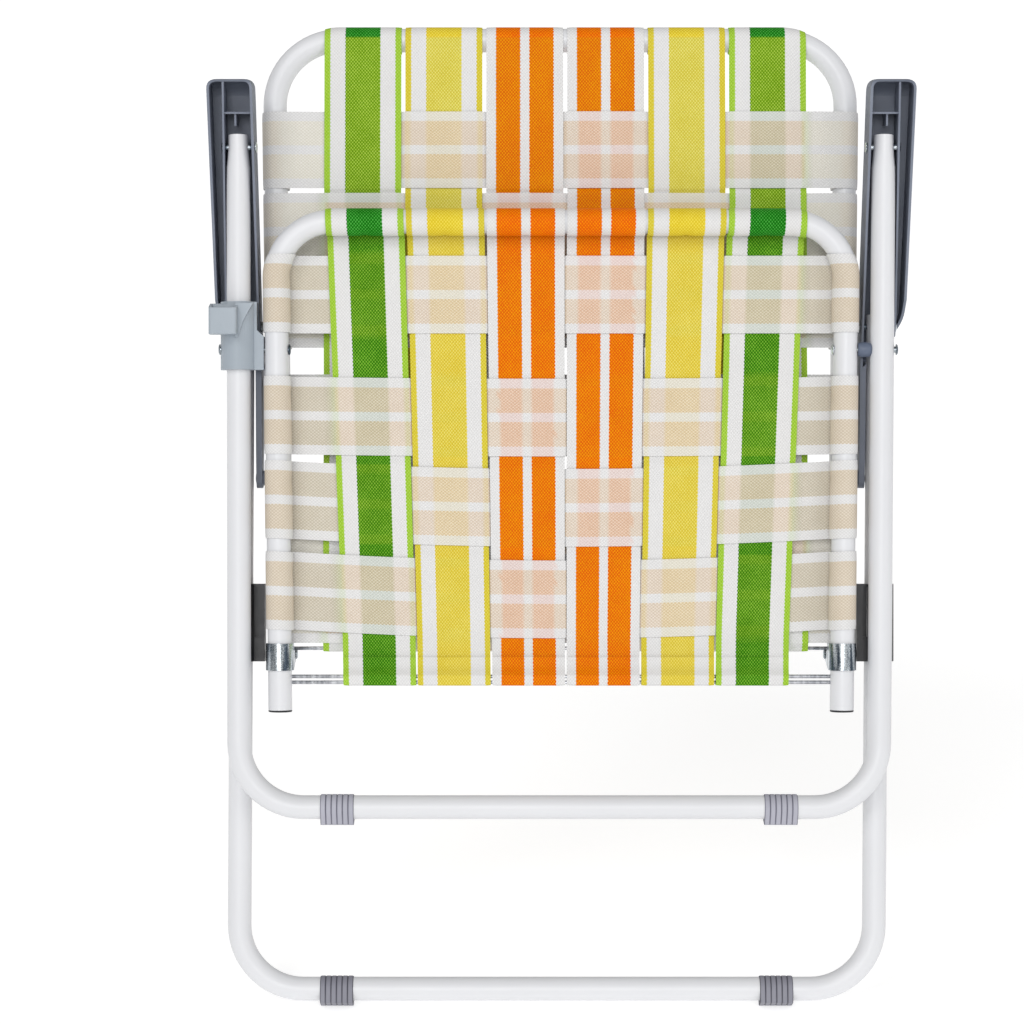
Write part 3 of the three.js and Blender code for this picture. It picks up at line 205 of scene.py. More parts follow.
# %% One material
class Finish:
    """A material that is built node by node."""

    def __init__(self, name, **constants):
        self.material = bpy.data.materials.new(name)
        self.material.use_nodes = True
        self.tree = self.material.node_tree
        self.shader = self.tree.nodes["Principled BSDF"]
        for socket, value in constants.items():
            self.shader.inputs[socket.replace("_", " ")].default_value = value

    def set(self, socket, value):
        if isinstance(value, Wire):
            self.tree.links.new(value.socket, socket)
        else:
            socket.default_value = value

    def node(self, kind, settings, sockets, out=0):
        made = self.tree.nodes.new(kind)
        for name, value in settings.items():
            setattr(made, name, value)
        for key, value in sockets.items():
            self.set(made.inputs[key], value)
        return Wire(self, made.outputs[out])

    def mix(self, factor, first, second):
        colours = {0: factor, 6: first, 7: second}
        return self.node("ShaderNodeMix", {"data_type": "RGBA"}, colours, 2)

    def attribute(self, name, out):
        """One output of an attribute: 0 its colour, 1 its vector, 2 its number, 3 its alpha."""
        return self.node("ShaderNodeAttribute", {"attribute_name": name}, {}, out)

    def parts(self, vector):
        made = self.node("ShaderNodeSeparateXYZ", {}, {0: vector})
        return [Wire(self, output) for output in made.socket.node.outputs]

    def object_place(self, *scale):
        """The place in the piece in metres, times one scale or one for each axis."""
        place = self.node("ShaderNodeTexCoord", {}, {}, "Object")
        scales = scale * 3 if len(scale) == 1 else scale
        return self.node("ShaderNodeVectorMath", {"operation": "MULTIPLY"}, {0: place, 1: scales})

    def cloud(self, place, detail=2.0):
        sockets = {"Vector": place, "Scale": 1.0, "Detail": detail}
        return self.node("ShaderNodeTexNoise", {}, sockets)

    def bump(self, height, distance, strength=1.0):
        sockets = {"Height": height, "Distance": distance, "Strength": strength}
        self.paint("Normal", self.node("ShaderNodeBump", {}, sockets))

    def paint(self, socket, value):
        self.set(self.shader.inputs[socket], value)


# %% [markdown]
# ## Rigid finishes
#
# The tube is steel with glossy white powder coat, which has a very fine orange peel. The hinge
# hardware is zinc plate and the rods are bright steel, each with a faint grain and soft bands of
# painted reflection in its colour, and the plastics are moulded with a spark texture that catches
# light along edges. One even colour would look like a toy, so every finish drifts a little in tone
# and gloss. The noise is placed in metres, so a scale of 900 makes grains of about a millimetre,
# and one of 9 makes slow clouds.

# %% Rigid finishes
def paint_finish():
    """White powder coat: a slow drift of tone, under a fine orange peel."""
    finish = Finish("white_powder_coat", Roughness=0.4, Coat_Weight=0.16, Coat_Roughness=0.24)
    tone = finish.cloud(finish.object_place(9), 3.0)
    finish.paint("Base Color", finish.mix(tone, (0.665, 0.67, 0.69, 1), (0.715, 0.72, 0.74, 1)))
    finish.paint("Roughness", finish.cloud(finish.object_place(60)) * 0.12 + 0.36)
    finish.bump(finish.cloud(finish.object_place(900)), 0.00004, 0.5)
    return finish.material


REFLECTION_BAND_CONTRAST, GRAIN_CONTRAST = 4.2, 1.1


def metal_finish(name, light, dark, roughness, grain):
    """Metal with soft bands of painted reflection in its colour, and a fine grain."""
    finish = Finish(name, Metallic=1.0)
    tone = finish.cloud(finish.object_place(grain), 4.0)
    # Painted reflection: stretched noise makes the soft dark and bright bands that a studio's
    # reflections lay along bright metal.
    reflection_bands = finish.cloud(finish.object_place(210, 60, 9), 2.0)
    reflection_and_grain = ((reflection_bands - 0.5) * REFLECTION_BAND_CONTRAST + (tone - 0.5) * GRAIN_CONTRAST + 0.5).clamped()
    finish.paint("Base Color", finish.mix(reflection_and_grain, dark, light))
    finish.paint("Roughness", tone * 0.2 + roughness)
    finish.bump(tone, 0.00005, 0.4)
    return finish.material


def drifting(finish, colour, worn):
    """A moulded plastic's colour, which drifts to a worn one."""
    tone = finish.cloud(finish.object_place(22), 5.0)
    return finish.mix((tone - 0.35) * 1.6, colour, worn)


def moulded(finish, roughness):
    """The drifting gloss and the spark texture of a moulded plastic."""
    finish.paint("Roughness", finish.cloud(finish.object_place(180)) * 0.16 + roughness)
    finish.bump(finish.cloud(finish.object_place(1400), 3.0), 0.00008, 0.6)


def plastic_finish(name, colour, worn, roughness):
    """One moulded plastic, from its colour, its worn colour and its roughness."""
    finish = Finish(name, Roughness=roughness)
    finish.paint("Base Color", drifting(finish, colour, worn))
    moulded(finish, roughness)
    return finish.material


paint = paint_finish()
# Each metal's dark and light ends are its painted reflection's dark bands and bright ones.
zinc = metal_finish("zinc_plate", (0.72, 0.77, 0.80, 1), (0.075, 0.10, 0.13, 1), 0.16, 900)
rod_steel = metal_finish("bright_rod", (0.66, 0.67, 0.70, 1), (0.34, 0.35, 0.38, 1), 0.2, 500)
PLASTICS = {
    "slate_plastic": ((0.15, 0.17, 0.22, 1), (0.205, 0.228, 0.28, 1), 0.42),
    "grey_plastic": ((0.325, 0.37, 0.415, 1), (0.385, 0.43, 0.475, 1), 0.42),
    "spacer_plastic": ((0.085, 0.11, 0.165, 1), (0.12, 0.145, 0.205, 1), 0.35),
    "black_plastic": ((0.014, 0.014, 0.017, 1), (0.03, 0.03, 0.035, 1), 0.34),
}
arm_plastic, socket_plastic, spacer_plastic, black_plastic = (
    plastic_finish(name, *kind) for name, kind in PLASTICS.items()
)
FLOOR_GLOW, FLOOR_TONE = 0.62, 0.6
floor_finish = Finish("pale_floor", Roughness=0.9, Emission_Strength=FLOOR_GLOW)
floor_finish.paint("Base Color", (FLOOR_TONE, FLOOR_TONE, FLOOR_TONE, 1))
floor_finish.paint("Emission Color", (1, 1, 1, 1))
floor_mesh.materials.append(floor_finish.material)
print("powder coat, zinc, bright rod and plastics", sorted(PLASTICS))

# %% [markdown]
# ## Strap finish
#
# The straps are woven from flat plastic yarn. Every stripe pattern is the same on both sides of
# the middle: a main colour between two places, white beside it, and sometimes a coloured edge. The
# mesh carries its own place across and along the strap, so the stripes and the weave follow every
# fold. Light that comes through the open weave, and shade, are painted into the main colour, so it
# has three states: plain; lit, a painted light, where light comes through it from behind, most
# where it lies over a pale strap; and deep, a painted shade, where it wraps a tube or lies beside
# one. The mesh says which, from 1 for lit to -1 for deep. It also carries the tint of a bright
# strap that lies beneath a pale one.

# %% Strap finish
WHITE = (0.69, 0.684, 0.68)
# Each main colour has a lit copy, painted light from behind, and a deep copy, painted shade.
STRAPS = {
    "green": {
        "main": (0.058, 0.23, 0.0035), "lit": (0.205, 0.365, 0.012), "deep": (0.012, 0.20, 0.008),
        "edge": (0.32, 0.53, 0.045), "stops": (-1, 0.455, 0.845), "contrast": 0.8,
    },
    "yellow": {
        "main": (0.67, 0.53, 0.058), "lit": (0.625, 0.555, 0.083), "deep": (0.71, 0.55, 0.035),
        "edge": (0.62, 0.52, 0.045), "stops": (-1, 0.46, 0.85), "contrast": 0.6,
    },
    "orange": {
        "main": (0.72, 0.155, 0.0), "lit": (0.68, 0.178, 0.0), "deep": (0.76, 0.145, 0.0),
        "edge": WHITE, "stops": (0.118, 0.75, 1), "contrast": 0.65,
    },
    "tan": {
        "main": (0.657, 0.543, 0.425), "lit": (0.70, 0.672, 0.60), "deep": (0.55, 0.51, 0.42),
        "edge": WHITE, "stops": (0.118, 0.75, 1), "contrast": 0.5,
    },
}
WHITE_CONTRAST, SEEN_THROUGH_TAN = 0.4, 0.19
YARN_ACROSS, YARN_ALONG = math.tau / 2.9, math.tau / 3.4
EDGE_RIPPLE, EVEN_WEAVE = 0.009, 0.45
CHECK_SHARE, CHECK_LEVEL, FIBRE_SHARE, WEAR_SHARE = 0.8, 0.42, 1.3, 0.6


def strap_finish(name, main, lit, deep, edge, stops, contrast):
    """One webbing: its stripes, with the main colour in three states of painted light and shade,
    and the weave that breaks them up.
    """
    finish = Finish(f"strap_{name}", Roughness=0.6, Specular_IOR_Level=0.06)
    share, along, across = finish.parts(finish.attribute("place", 1))
    side = abs(share) + (along * YARN_ALONG).sine() * EDGE_RIPPLE
    in_main = (side > stops[0]) - (side > stops[1])
    # Painted light and shade: the mesh's level mixes the main colour towards its lit copy above 0
    # and its deep, shaded copy below 0.
    state = finish.attribute("state", 2)
    main_colour = finish.mix(state.clamped(), (*main, 1), (*lit, 1))
    main_colour = finish.mix((state * -1).clamped(), main_colour, (*deep, 1))
    beside = finish.mix(side > stops[2], (*WHITE, 1), (*edge, 1))
    colour = finish.mix(in_main, beside, main_colour)
    if name == "tan":
        colour = finish.mix(finish.attribute("below", 3), colour, finish.attribute("below", 0))
    checks = (across * YARN_ACROSS).sine() * (along * YARN_ALONG).sine()
    fibre = finish.cloud(finish.object_place(900), 2.0)
    wear = finish.cloud(finish.object_place(38), 3.0)
    raised = checks * CHECK_SHARE + CHECK_LEVEL
    raised = (raised + (fibre - 0.5) * FIBRE_SHARE + (wear - 0.5) * WEAR_SHARE).clamped()
    strength = in_main * (contrast - WHITE_CONTRAST) + WHITE_CONTRAST
    gamma = (EVEN_WEAVE - raised) * strength + 1
    woven_colour = finish.node("ShaderNodeGamma", {}, {"Color": colour, "Gamma": gamma})
    finish.paint("Base Color", woven_colour)
    finish.paint("Roughness", fibre * 0.2 + 0.45)
    finish.bump(checks + fibre * 0.5, 0.0002, 0.55)
    return finish.material


strap_finishes = {name: strap_finish(name, **kind) for name, kind in STRAPS.items()}
print("strap finishes", sorted(strap_finishes))

# %% [markdown]
# ## Making pieces
#
# Every piece is made from rings of points or a grid of points in millimetres, placed by one
# of the matrices above. The helper gives it its finish, hides the plain solid that it stands
# for, and lets it ride on its body.

# %% Making pieces
bodies = frame["record"]["behaviour"]["bodies"]
body_of_node = {node: body for body, nodes in bodies.items() for node in nodes}


def add_piece(name, points, faces, place, finish, node=None, smooth=38, replaced=True):
    """A mesh that rides with its node's body and, where it is replaced, stands for the node."""
    node = node or name
    mesh = bpy.data.meshes.new(f"fine_{name}")
    placed = [place @ Vector(point) for point in points]
    mesh.from_pydata(placed, [], faces)
    mesh.validate()
    mesh.materials.append(finish)
    for polygon in mesh.polygons:
        polygon.use_smooth = True
    mesh.set_sharp_from_angle(angle=math.radians(smooth))
    piece = bpy.data.objects.new(f"fine_{name}", mesh)
    bpy.context.collection.objects.link(piece)
    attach(piece, body_of_node[node])
    if replaced:
        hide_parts(node)
    return piece


def skin(outer, inner=None):
    """Points and faces over a row of rings: capped at both ends, or joined to a bore's rings."""
    points = [point for ring in outer for point in ring]
    faces = []

    def wall(first, count, sides, flip):
        for r in range(count - 1):
            for i in range(sides):
                a, b = first + r * sides + i, first + r * sides + (i + 1) % sides
                quad = (a, b, b + sides, a + sides)
                faces.append(quad[::-1] if flip else quad)

    sides = len(outer[0])
    wall(0, len(outer), sides, False)
    last = (len(outer) - 1) * sides
    if inner is None:
        faces.append(tuple(range(sides))[::-1])
        faces.append(tuple(range(last, last + sides)))
        return points, faces
    start = len(points)
    points += [point for ring in inner for point in ring]
    wall(start, len(inner), sides, True)
    end = start + (len(inner) - 1) * sides
    for i in range(sides):
        j = (i + 1) % sides
        faces.append((i, start + i, start + j, j))
        faces.append((last + j, end + j, end + i, last + i))
    return points, faces


def turned(profile, y, z, sides=40):
    """Rings of a piece turned about an axis along X, from pairs of place and radius."""
    angles = [math.tau * i / sides for i in range(sides)]
    circle = [(math.cos(angle), math.sin(angle)) for angle in angles]
    return [[(x, y + r * c, z + r * s) for c, s in circle] for x, r in profile]


SIDES = ((-1, "left"), (1, "right"))

# %% [markdown]
# ## Tube loops
#
# A loop is bent from one straight tube. A curve with a round bevel could draw it, but with
# no wall at its open ends. So its path is worked out as straight runs and round bends, and
# rings of the tube's section along it make the outer skin and the bore. The front leg's ends
# are pressed narrower where they go into the armrests. The two leg loops sit a little askew
# on their rivets, so their rails are slipped to one side.

# %% Tube loops
TUBE, WALL = 11.1, 1.2
BEND_STEPS, TUBE_SIDES = 16, 40
PRESSED, PRESSED_LENGTH, DEEPENED = 9.3 / TUBE, 30, 0.6
# How far up the pressed length each station lies, and how round it is there.
PRESS_STEPS = ((0, 0), (0.4, 0), (0.55, 0.25), (0.75, 0.5), (0.9, 0.75), (1, 1))


def loop_path(end_half, end_z, rail_half, rail_z, bend, slip=0):
    """Stations (x, z, direction) along one U, left end to right end, with its rail slipped."""
    left, right = slip - rail_half, slip + rail_half
    corners = [(-end_half, end_z), (left, rail_z), (right, rail_z), (end_half, end_z)]
    corners = [Vector(corner) for corner in corners]
    path = [(corners[0], (corners[1] - corners[0]).normalized())]
    for i in (1, 2):
        arrive = (corners[i] - corners[i - 1]).normalized()
        leave = (corners[i + 1] - corners[i]).normalized()
        bend_turn = arrive.angle_signed(leave)
        start = corners[i] - arrive * bend * math.tan(abs(bend_turn) / 2)
        for k in range(BEND_STEPS + 1):
            angle = -bend_turn * k / BEND_STEPS
            side = Vector((-arrive.y, arrive.x)) * math.copysign(bend, -bend_turn)
            spin = Matrix.Rotation(angle, 2)
            path.append((start + side - spin @ side, spin @ arrive))
    path.append((corners[3], (corners[3] - corners[2]).normalized()))
    return path


def tube_rings(stations, radius):
    """The tube's section at each station, narrower across and deeper where it is pressed."""
    rings = []
    for place, along, press in stations:
        across = Vector((along.y, -along.x))
        wide, deep = radius * press, radius * (1 + (1 - press) * DEEPENED)
        ring = []
        for i in range(TUBE_SIDES):
            angle = math.tau * i / TUBE_SIDES
            flat = place + across * wide * math.cos(angle)
            ring.append((flat.x, deep * math.sin(angle), flat.y))
        rings.append(ring)
    return rings


def add_loop(name, path, place, pressed=False):
    """One tube along its path, pressed narrower at both ends where that is asked for."""
    stations = [(at, along, 1) for at, along in path]
    if pressed:
        ends = []
        for (at, along), sign in ((path[0], 1), (path[-1], -1)):
            end = []
            for step, round_share in PRESS_STEPS:
                press = PRESSED + (1 - PRESSED) * round_share
                end.append((at + along * sign * PRESSED_LENGTH * step, along, press))
            ends.append(end)
        stations = ends[0] + stations[1:-1] + ends[1][::-1]
    points, faces = skin(tube_rings(stations, TUBE), tube_rings(stations, TUBE - WALL))
    add_piece(name, points, faces, place, paint)


# Each loop's half width at its rail and at its ends, its heights and its bend's radius.
SEAT_RAIL, SEAT_END, SEAT_BEND = 733, 279, 52
SEAT_HALF_FRONT, SEAT_HALF_REAR = 265.6, 261
BACK_RAIL, BACK_END, BACK_BEND, BACK_HALF_TOP = 580.5, -8.5, 62, 270.8


def seat_half(z):
    """Half the width of the seat loop between its tubes' middles, at a height."""
    share = (z - SEAT_END) / (SEAT_RAIL - SEAT_END)
    return SEAT_HALF_REAR + (SEAT_HALF_FRONT - SEAT_HALF_REAR) * share


def back_half(z):
    """The same for the back loop, which has the seat loop's width at the hinge."""
    return seat_half(HINGE) + (BACK_HALF_TOP - seat_half(HINGE)) * z / BACK_RAIL


FRONT_HALF_TOP, FRONT_HALF_RAIL, FRONT_TOP, FRONT_RAIL = 300, 297.3, FRONT_PIVOT + 11, 188.5
REAR_HALF_TOP, REAR_HALF_RAIL, REAR_TOP, REAR_RAIL, LEG_BEND = 298.5, 298, 648, 15, 60
FRONT_SLIP, REAR_SLIP = -1.9, -3.9
front_path = loop_path(
    FRONT_HALF_TOP, FRONT_TOP, FRONT_HALF_RAIL, FRONT_RAIL, LEG_BEND, FRONT_SLIP
)
rear_path = loop_path(REAR_HALF_TOP, REAR_TOP, REAR_HALF_RAIL, REAR_RAIL, LEG_BEND, REAR_SLIP)
seat_path = loop_path(seat_half(SEAT_END), SEAT_END, SEAT_HALF_FRONT, SEAT_RAIL, SEAT_BEND)
back_path = loop_path(back_half(BACK_END), BACK_END, BACK_HALF_TOP, BACK_RAIL, BACK_BEND)
add_loop("front_leg_frame", front_path, in_stack, pressed=True)
add_loop("rear_leg_frame", rear_path, in_rear)
add_loop("seat_frame", seat_path, in_stack)
add_loop("back_frame", back_path, in_back)
print("four tube loops")

# %% [markdown]
# ## Straps
#
# A strap could be a flat plane with a thickness modifier, but the real one passes over and
# under its neighbours and folds round the tubes. So each strap is a grid of points: its
# stations run along the strap, and at each station a row of points runs across it. This
# cell has the curves that a strap follows: level over each crossing, easing between two of
# them, and most of a turn round a tube, where it puckers a little.

# %% Straps
WEB, THICK, GAP, CLEAR = 72.5, 1.1, 0.4, 0.25
# A panel's plane lies this far from the middle of its tubes, and a crossing rises from it.
PLANE, RISE = TUBE + 0.9, 0.8
ROUND, WRAP = TUBE + CLEAR + THICK / 2, math.radians(305)
CROSSING_STEPS, BETWEEN_STEPS, FOLD_STEPS = 24, 6, 44
PUCKER_HEIGHT, PUCKER_ANGLE, PUCKER_SPREAD = 0.9, math.radians(262), 0.55
FASTENED_DIP, FASTENED_SPREAD = 0.85, 0.09


def ease(share):
    """A smooth step from 0 to 1."""
    share = min(max(share, 0), 1)
    return share * share * (3 - 2 * share)


def tube_fold(side):
    """The fold nearly round a tube: (run, depth, angle) from the web's plane to its end."""
    angles = [WRAP * i / FOLD_STEPS for i in range(FOLD_STEPS + 1)]
    return [(ROUND * math.sin(angle), side * ROUND * math.cos(angle), angle) for angle in angles]


def pucker(share, angle):
    """How far a fold stands off its tube: more below the tube, less where it is fastened."""
    low = math.exp(-((angle - PUCKER_ANGLE) / PUCKER_SPREAD) ** 2)
    return low * (PUCKER_HEIGHT - FASTENED_DIP * math.exp(-((share / FASTENED_SPREAD) ** 2)))


def woven(crossings, side):
    """(run, depth, crossing) down a row of crossings, level on each and easing between them."""
    points = []
    for k, (start, stop, over) in enumerate(crossings):
        for i in range(CROSSING_STEPS + 1):
            run = start + (stop - start) * i / CROSSING_STEPS
            points.append((run, side * PLANE - over * RISE, k))
        if k + 1 < len(crossings):
            next_start, _, next_over = crossings[k + 1]
            for i in range(1, BETWEEN_STEPS):
                share = i / BETWEEN_STEPS
                run = stop + (next_start - stop) * share
                level = over + (next_over - over) * ease(share)
                points.append((run, side * PLANE - level * RISE, None))
    return points


def bend_at(way, radius):
    """How far a tube falls away past the start of its bend, and how much wider its cut is."""
    if way <= 0:
        return 0, 1
    along = math.sqrt(radius * radius - way * way)
    return radius - along, radius / along


def distances(points):
    """How far along a row of (run, depth) points each of them lies."""
    steps = [0.0]
    for (a, b, *_), (c, d, *_) in zip(points, points[1:]):
        steps.append(steps[-1] + math.hypot(c - a, d - b))
    return steps


print("fold round a tube", round(distances(tube_fold(1))[-1], 1), "mm")

# %% [markdown]
# ## Lower ends
#
# The long straps end round thin rods. On the back one rod lies across the tubes' open ends,
# and the strap turns round it and goes a little way up again. On the seat the strap passes
# over two rods, turns round the lower one and comes back up beneath itself. Each end is a
# short list of (run, depth) places, where a run is a height on the panel.

# %% Lower ends
ROD, SEAT_ROD, SEAT_ROD_TOP, BACK_ROD, BACK_ROD_DEPTH = 1.75, 304.6, 310.1, 5.5, 6.4
ROUND_ROD, ROD_STEPS = ROD + CLEAR + THICK / 2, 18
BACK_ROWS = [474.5, 397.3, 323.8, 226.1, 120.8, 46.8]
SEAT_ROWS = [666.1, 552.2, 470.9, 385.9]
KNEE, TAIL_UNDER = math.radians(36), THICK + 2 * GAP
SEAT_TAIL, BACK_TAIL = 9, 8


def rod_fold(run, depth, side, start, stop):
    """Round a rod, as (run, depth), from one angle to another."""
    angles = [start + (stop - start) * i / ROD_STEPS for i in range(ROD_STEPS + 1)]
    return [
        (run - ROUND_ROD * math.sin(angle), depth + side * ROUND_ROD * math.cos(angle))
        for angle in angles
    ]


def seat_lower():
    """Over both of the seat's rods, round the lower one, and back up beneath the strap."""
    radius = ROUND_ROD
    points = [(SEAT_ROD_TOP + 1, radius + 0.3), (SEAT_ROD_TOP - 2, radius), (SEAT_ROD + 2, radius)]
    points += rod_fold(SEAT_ROD, 0, 1, 0, math.pi)
    points += [(SEAT_ROD + 2, -radius), (SEAT_ROD_TOP - 1, -radius)]
    for i in range(5):
        angle = KNEE * i / 4
        points.append((SEAT_ROD_TOP + radius * math.sin(angle), -radius * math.cos(angle)))
    slope = (PLANE - radius) / (SEAT_ROWS[-1] - WEB / 2 - SEAT_ROD_TOP)
    run, depth = points[-1]

    def under(z):
        return radius + slope * (z - SEAT_ROD_TOP) - TAIL_UNDER

    meet = (under(run) - depth) / (math.tan(KNEE) - slope) + run
    for s in (0.35, 0.7):
        points.append((run + (meet - run) * s, depth + (under(meet) - depth) * s))
    for step in range(4):
        z = meet + 0.8 + SEAT_TAIL * step / 3
        points.append((z, under(z)))
    return points


def back_lower():
    """Round the back's rod, and back up behind the strap."""
    points = rod_fold(BACK_ROD, -BACK_ROD_DEPTH, -1, math.radians(-6), math.radians(194))
    tail_depth = RISE - PLANE + TAIL_UNDER
    run, depth = points[-1]
    stop = BACK_ROD + ROUND_ROD + 9
    for s in (0.3, 0.6, 0.85):
        points.append((run + (stop - run) * s, depth + (tail_depth - depth) * ease(s)))
    for step in range(4):
        points.append((stop + 0.5 + BACK_TAIL * step / 3, tail_depth))
    return points


print("lower ends", len(seat_lower()), "and", len(back_lower()), "places")

# %% [markdown]
# ## Two panels
#
# Both panels are woven in the same way, so one record for each holds what differs. The rows
# and gaps are as uneven as hand weaving leaves them, the long straps have slid a little to
# the right, and the lower rows of the seat hang in the middle. The seat's long straps also
# draw in towards their rods.

# %% Two panels
ORDER = ["green", "yellow", "orange", "orange", "yellow", "green"]
MIDDLE_COLUMN, SLID, BACK_PITCH = 2.5, 4.6, 76.3
SEAT_PITCH_REAR, SEAT_PITCH_FRONT, SEAT_WEB_REAR = 69.2, 74.8, 67.6
WAVE_HEIGHT, WAVE_SCALE, WAVE_FADE, STILL_EDGE, STILL_LOW = 0.9, 0.013, 24, 18, 12


def back_edges(column):
    """The left and right edges of a back column at a height, as a function of the height."""
    middle = (column - MIDDLE_COLUMN) * BACK_PITCH + SLID
    return lambda z: (middle - WEB / 2, middle + WEB / 2)


def seat_edges(column):
    """The same for a seat column."""

    def edges(z):
        share = (z - SEAT_ROD) / (SEAT_RAIL - SEAT_ROD)
        pitch = SEAT_PITCH_REAR + (SEAT_PITCH_FRONT - SEAT_PITCH_REAR) * share
        middle = (column - MIDDLE_COLUMN) * pitch + SLID
        half = (SEAT_WEB_REAR + (WEB - SEAT_WEB_REAR) * share) / 2
        return middle - half, middle + half

    return edges


# A panel's last three numbers are its levels of painted light and shade: for its long straps, for
# its cross straps beside a side tube, and round a side tube. The back is painted lit, as light
# comes through it from behind; the seat is plain, and painted in shade by the tubes.
BACK = SimpleNamespace(
    name="back", place=in_back, side=-1, rows=BACK_ROWS, sags=(0, 0, 0, 0, 0, 0),
    half=back_half, edges=back_edges, lower=back_lower(),
    rail=BACK_RAIL, rail_half=BACK_HALF_TOP, bend=BACK_BEND,
    reach=back_half(250), low=BACK_ROD, seed=3.7, states=(0.9, 1, 0.75),
)
SEAT = SimpleNamespace(
    name="seat", place=in_stack, side=1, rows=SEAT_ROWS, sags=(0, 1, 4, 4.5),
    half=seat_half, edges=seat_edges, lower=seat_lower(),
    rail=SEAT_RAIL, rail_half=SEAT_HALF_FRONT, bend=SEAT_BEND,
    reach=seat_half(500), low=SEAT_ROD_TOP, seed=9.1, states=(0, -0.85, -0.45),
)


def is_front(column, row):
    """Whether the long strap lies in front of the cross strap, as in plain weave."""
    return (column + row) % 2 == 0


def hung(panel, sag, x):
    """How far a cross strap's edge lies above its row: up at the tubes and down in the middle."""
    return sag * (2 * min(abs(x) / panel.reach, 1) ** 2 - 1)


def slack(panel, x, z):
    """The small waves of a panel's plane, which fade out at its tubes."""
    fade = ease((panel.reach - STILL_EDGE - abs(x)) / WAVE_FADE)
    fade *= ease((panel.rail - STILL_EDGE - z) / WAVE_FADE)
    fade *= ease((z - panel.low - STILL_LOW) / WAVE_FADE)
    wave = noise.noise(Vector((x * WAVE_SCALE, z * WAVE_SCALE, panel.seed)))
    return WAVE_HEIGHT * fade * wave


for panel in (BACK, SEAT):
    print(panel.name, round(2 * panel.reach), "mm from tube to tube,", len(panel.rows), "rows")

# %% [markdown]
# ## A strap's mesh
#
# The grid becomes a closed skin: a sheet on each side of it, along its own normals, joined round
# the rim, and thinner at the selvedges. Every point also carries what the finish needs: its place
# on the strap, the colour that shows through from beneath, and the state of the main colour.

# %% A strap's mesh
ROWS_ACROSS, SELVEDGE_SHARE, SELVEDGE_THICK = 14, 0.995, 0.45
SHARES = np.linspace(-1, 1, ROWS_ACROSS + 1)


def carry(mesh, name, kind, field, values):
    """Give both sheets of a strap one value for each point of its grid."""
    layer = mesh.attributes.new(name, kind, "POINT")
    layer.data.foreach_set(field, np.concatenate([values, values]).ravel())


def add_strap(name, grid, along, below, state, finish, panel):
    """A closed strap from a grid of middle points, with what each point carries."""
    grid = np.array(grid, float)
    count, across = grid.shape[:2]
    normal = np.cross(np.gradient(grid, axis=0), np.gradient(grid, axis=1))
    normal /= np.linalg.norm(normal, axis=2, keepdims=True)
    thin = np.where(np.abs(SHARES) > SELVEDGE_SHARE, SELVEDGE_THICK, 1.0)
    rim = THICK / 2 * thin[None, :, None]
    top, bottom = grid + normal * rim, grid - normal * rim
    points = np.concatenate([top.reshape(-1, 3), bottom.reshape(-1, 3)])
    half = count * across
    faces = []
    for i in range(count - 1):
        for j in range(across - 1):
            a = i * across + j
            faces.append((a, a + across, a + across + 1, a + 1))
            faces.append((half + a, half + a + 1, half + a + across + 1, half + a + across))
        for j in (0, across - 1):
            a = i * across + j
            side = (a, half + a, half + a + across, a + across)
            faces.append(side if j == 0 else side[::-1])
    for i in (0, count - 1):
        for j in range(across - 1):
            a = i * across + j
            end = (a, a + 1, half + a + 1, half + a)
            faces.append(end if i == 0 else end[::-1])
    finish = strap_finishes[finish]
    piece = add_piece(name, points.tolist(), faces, panel.place, finish, smooth=50)
    places = np.empty((count, across, 3), np.float32)
    places[..., 0] = SHARES[None, :]
    places[..., 1] = np.array(along)[:, None]
    places[..., 2] = SHARES[None, :] * WEB / 2
    colours = np.array(below, np.float32).reshape(count, across, 4)
    states = np.repeat(np.array(state, np.float32)[:, None], across, axis=1)
    carry(piece.data, "place", "FLOAT_VECTOR", "vector", places)
    carry(piece.data, "below", "FLOAT_COLOR", "color", colours)
    # Each point's painted light and shade: 1 for painted light, -1 for painted shade.
    carry(piece.data, "state", "FLOAT", "value", states)
    width = np.linalg.norm(grid[:, -1] - grid[:, 0], axis=1)


print("points across a strap", len(SHARES))

# %% [markdown]
# ## Long straps
#
# A long strap starts with its tail behind the rail, folds round it, goes over and under the
# cross straps and ends round the rods. Where the rail bends down, the fold follows the bend.
# The main colour is deep round the rail, a painted shade, and painted brighter, as light through
# the weave, where the strap lies over a pale one, most over that one's white stripes. On the back
# the whole strap is painted lit, as light comes through it from behind.

# %% Long straps
LEAD = (0.2, 0.4, 0.6, 0.8)
# OVER_WHITE and OVER_TAN say how far the main colour is painted towards its lit copy over a white
# and over a tan stripe; the fold eases into painted shade over the last angle.
WHITE_EDGES, OVER_WHITE, OVER_TAN, PAINTED_SHADE_ANGLE = (0.12, 0.75), 0.4, 0.22, 0.15


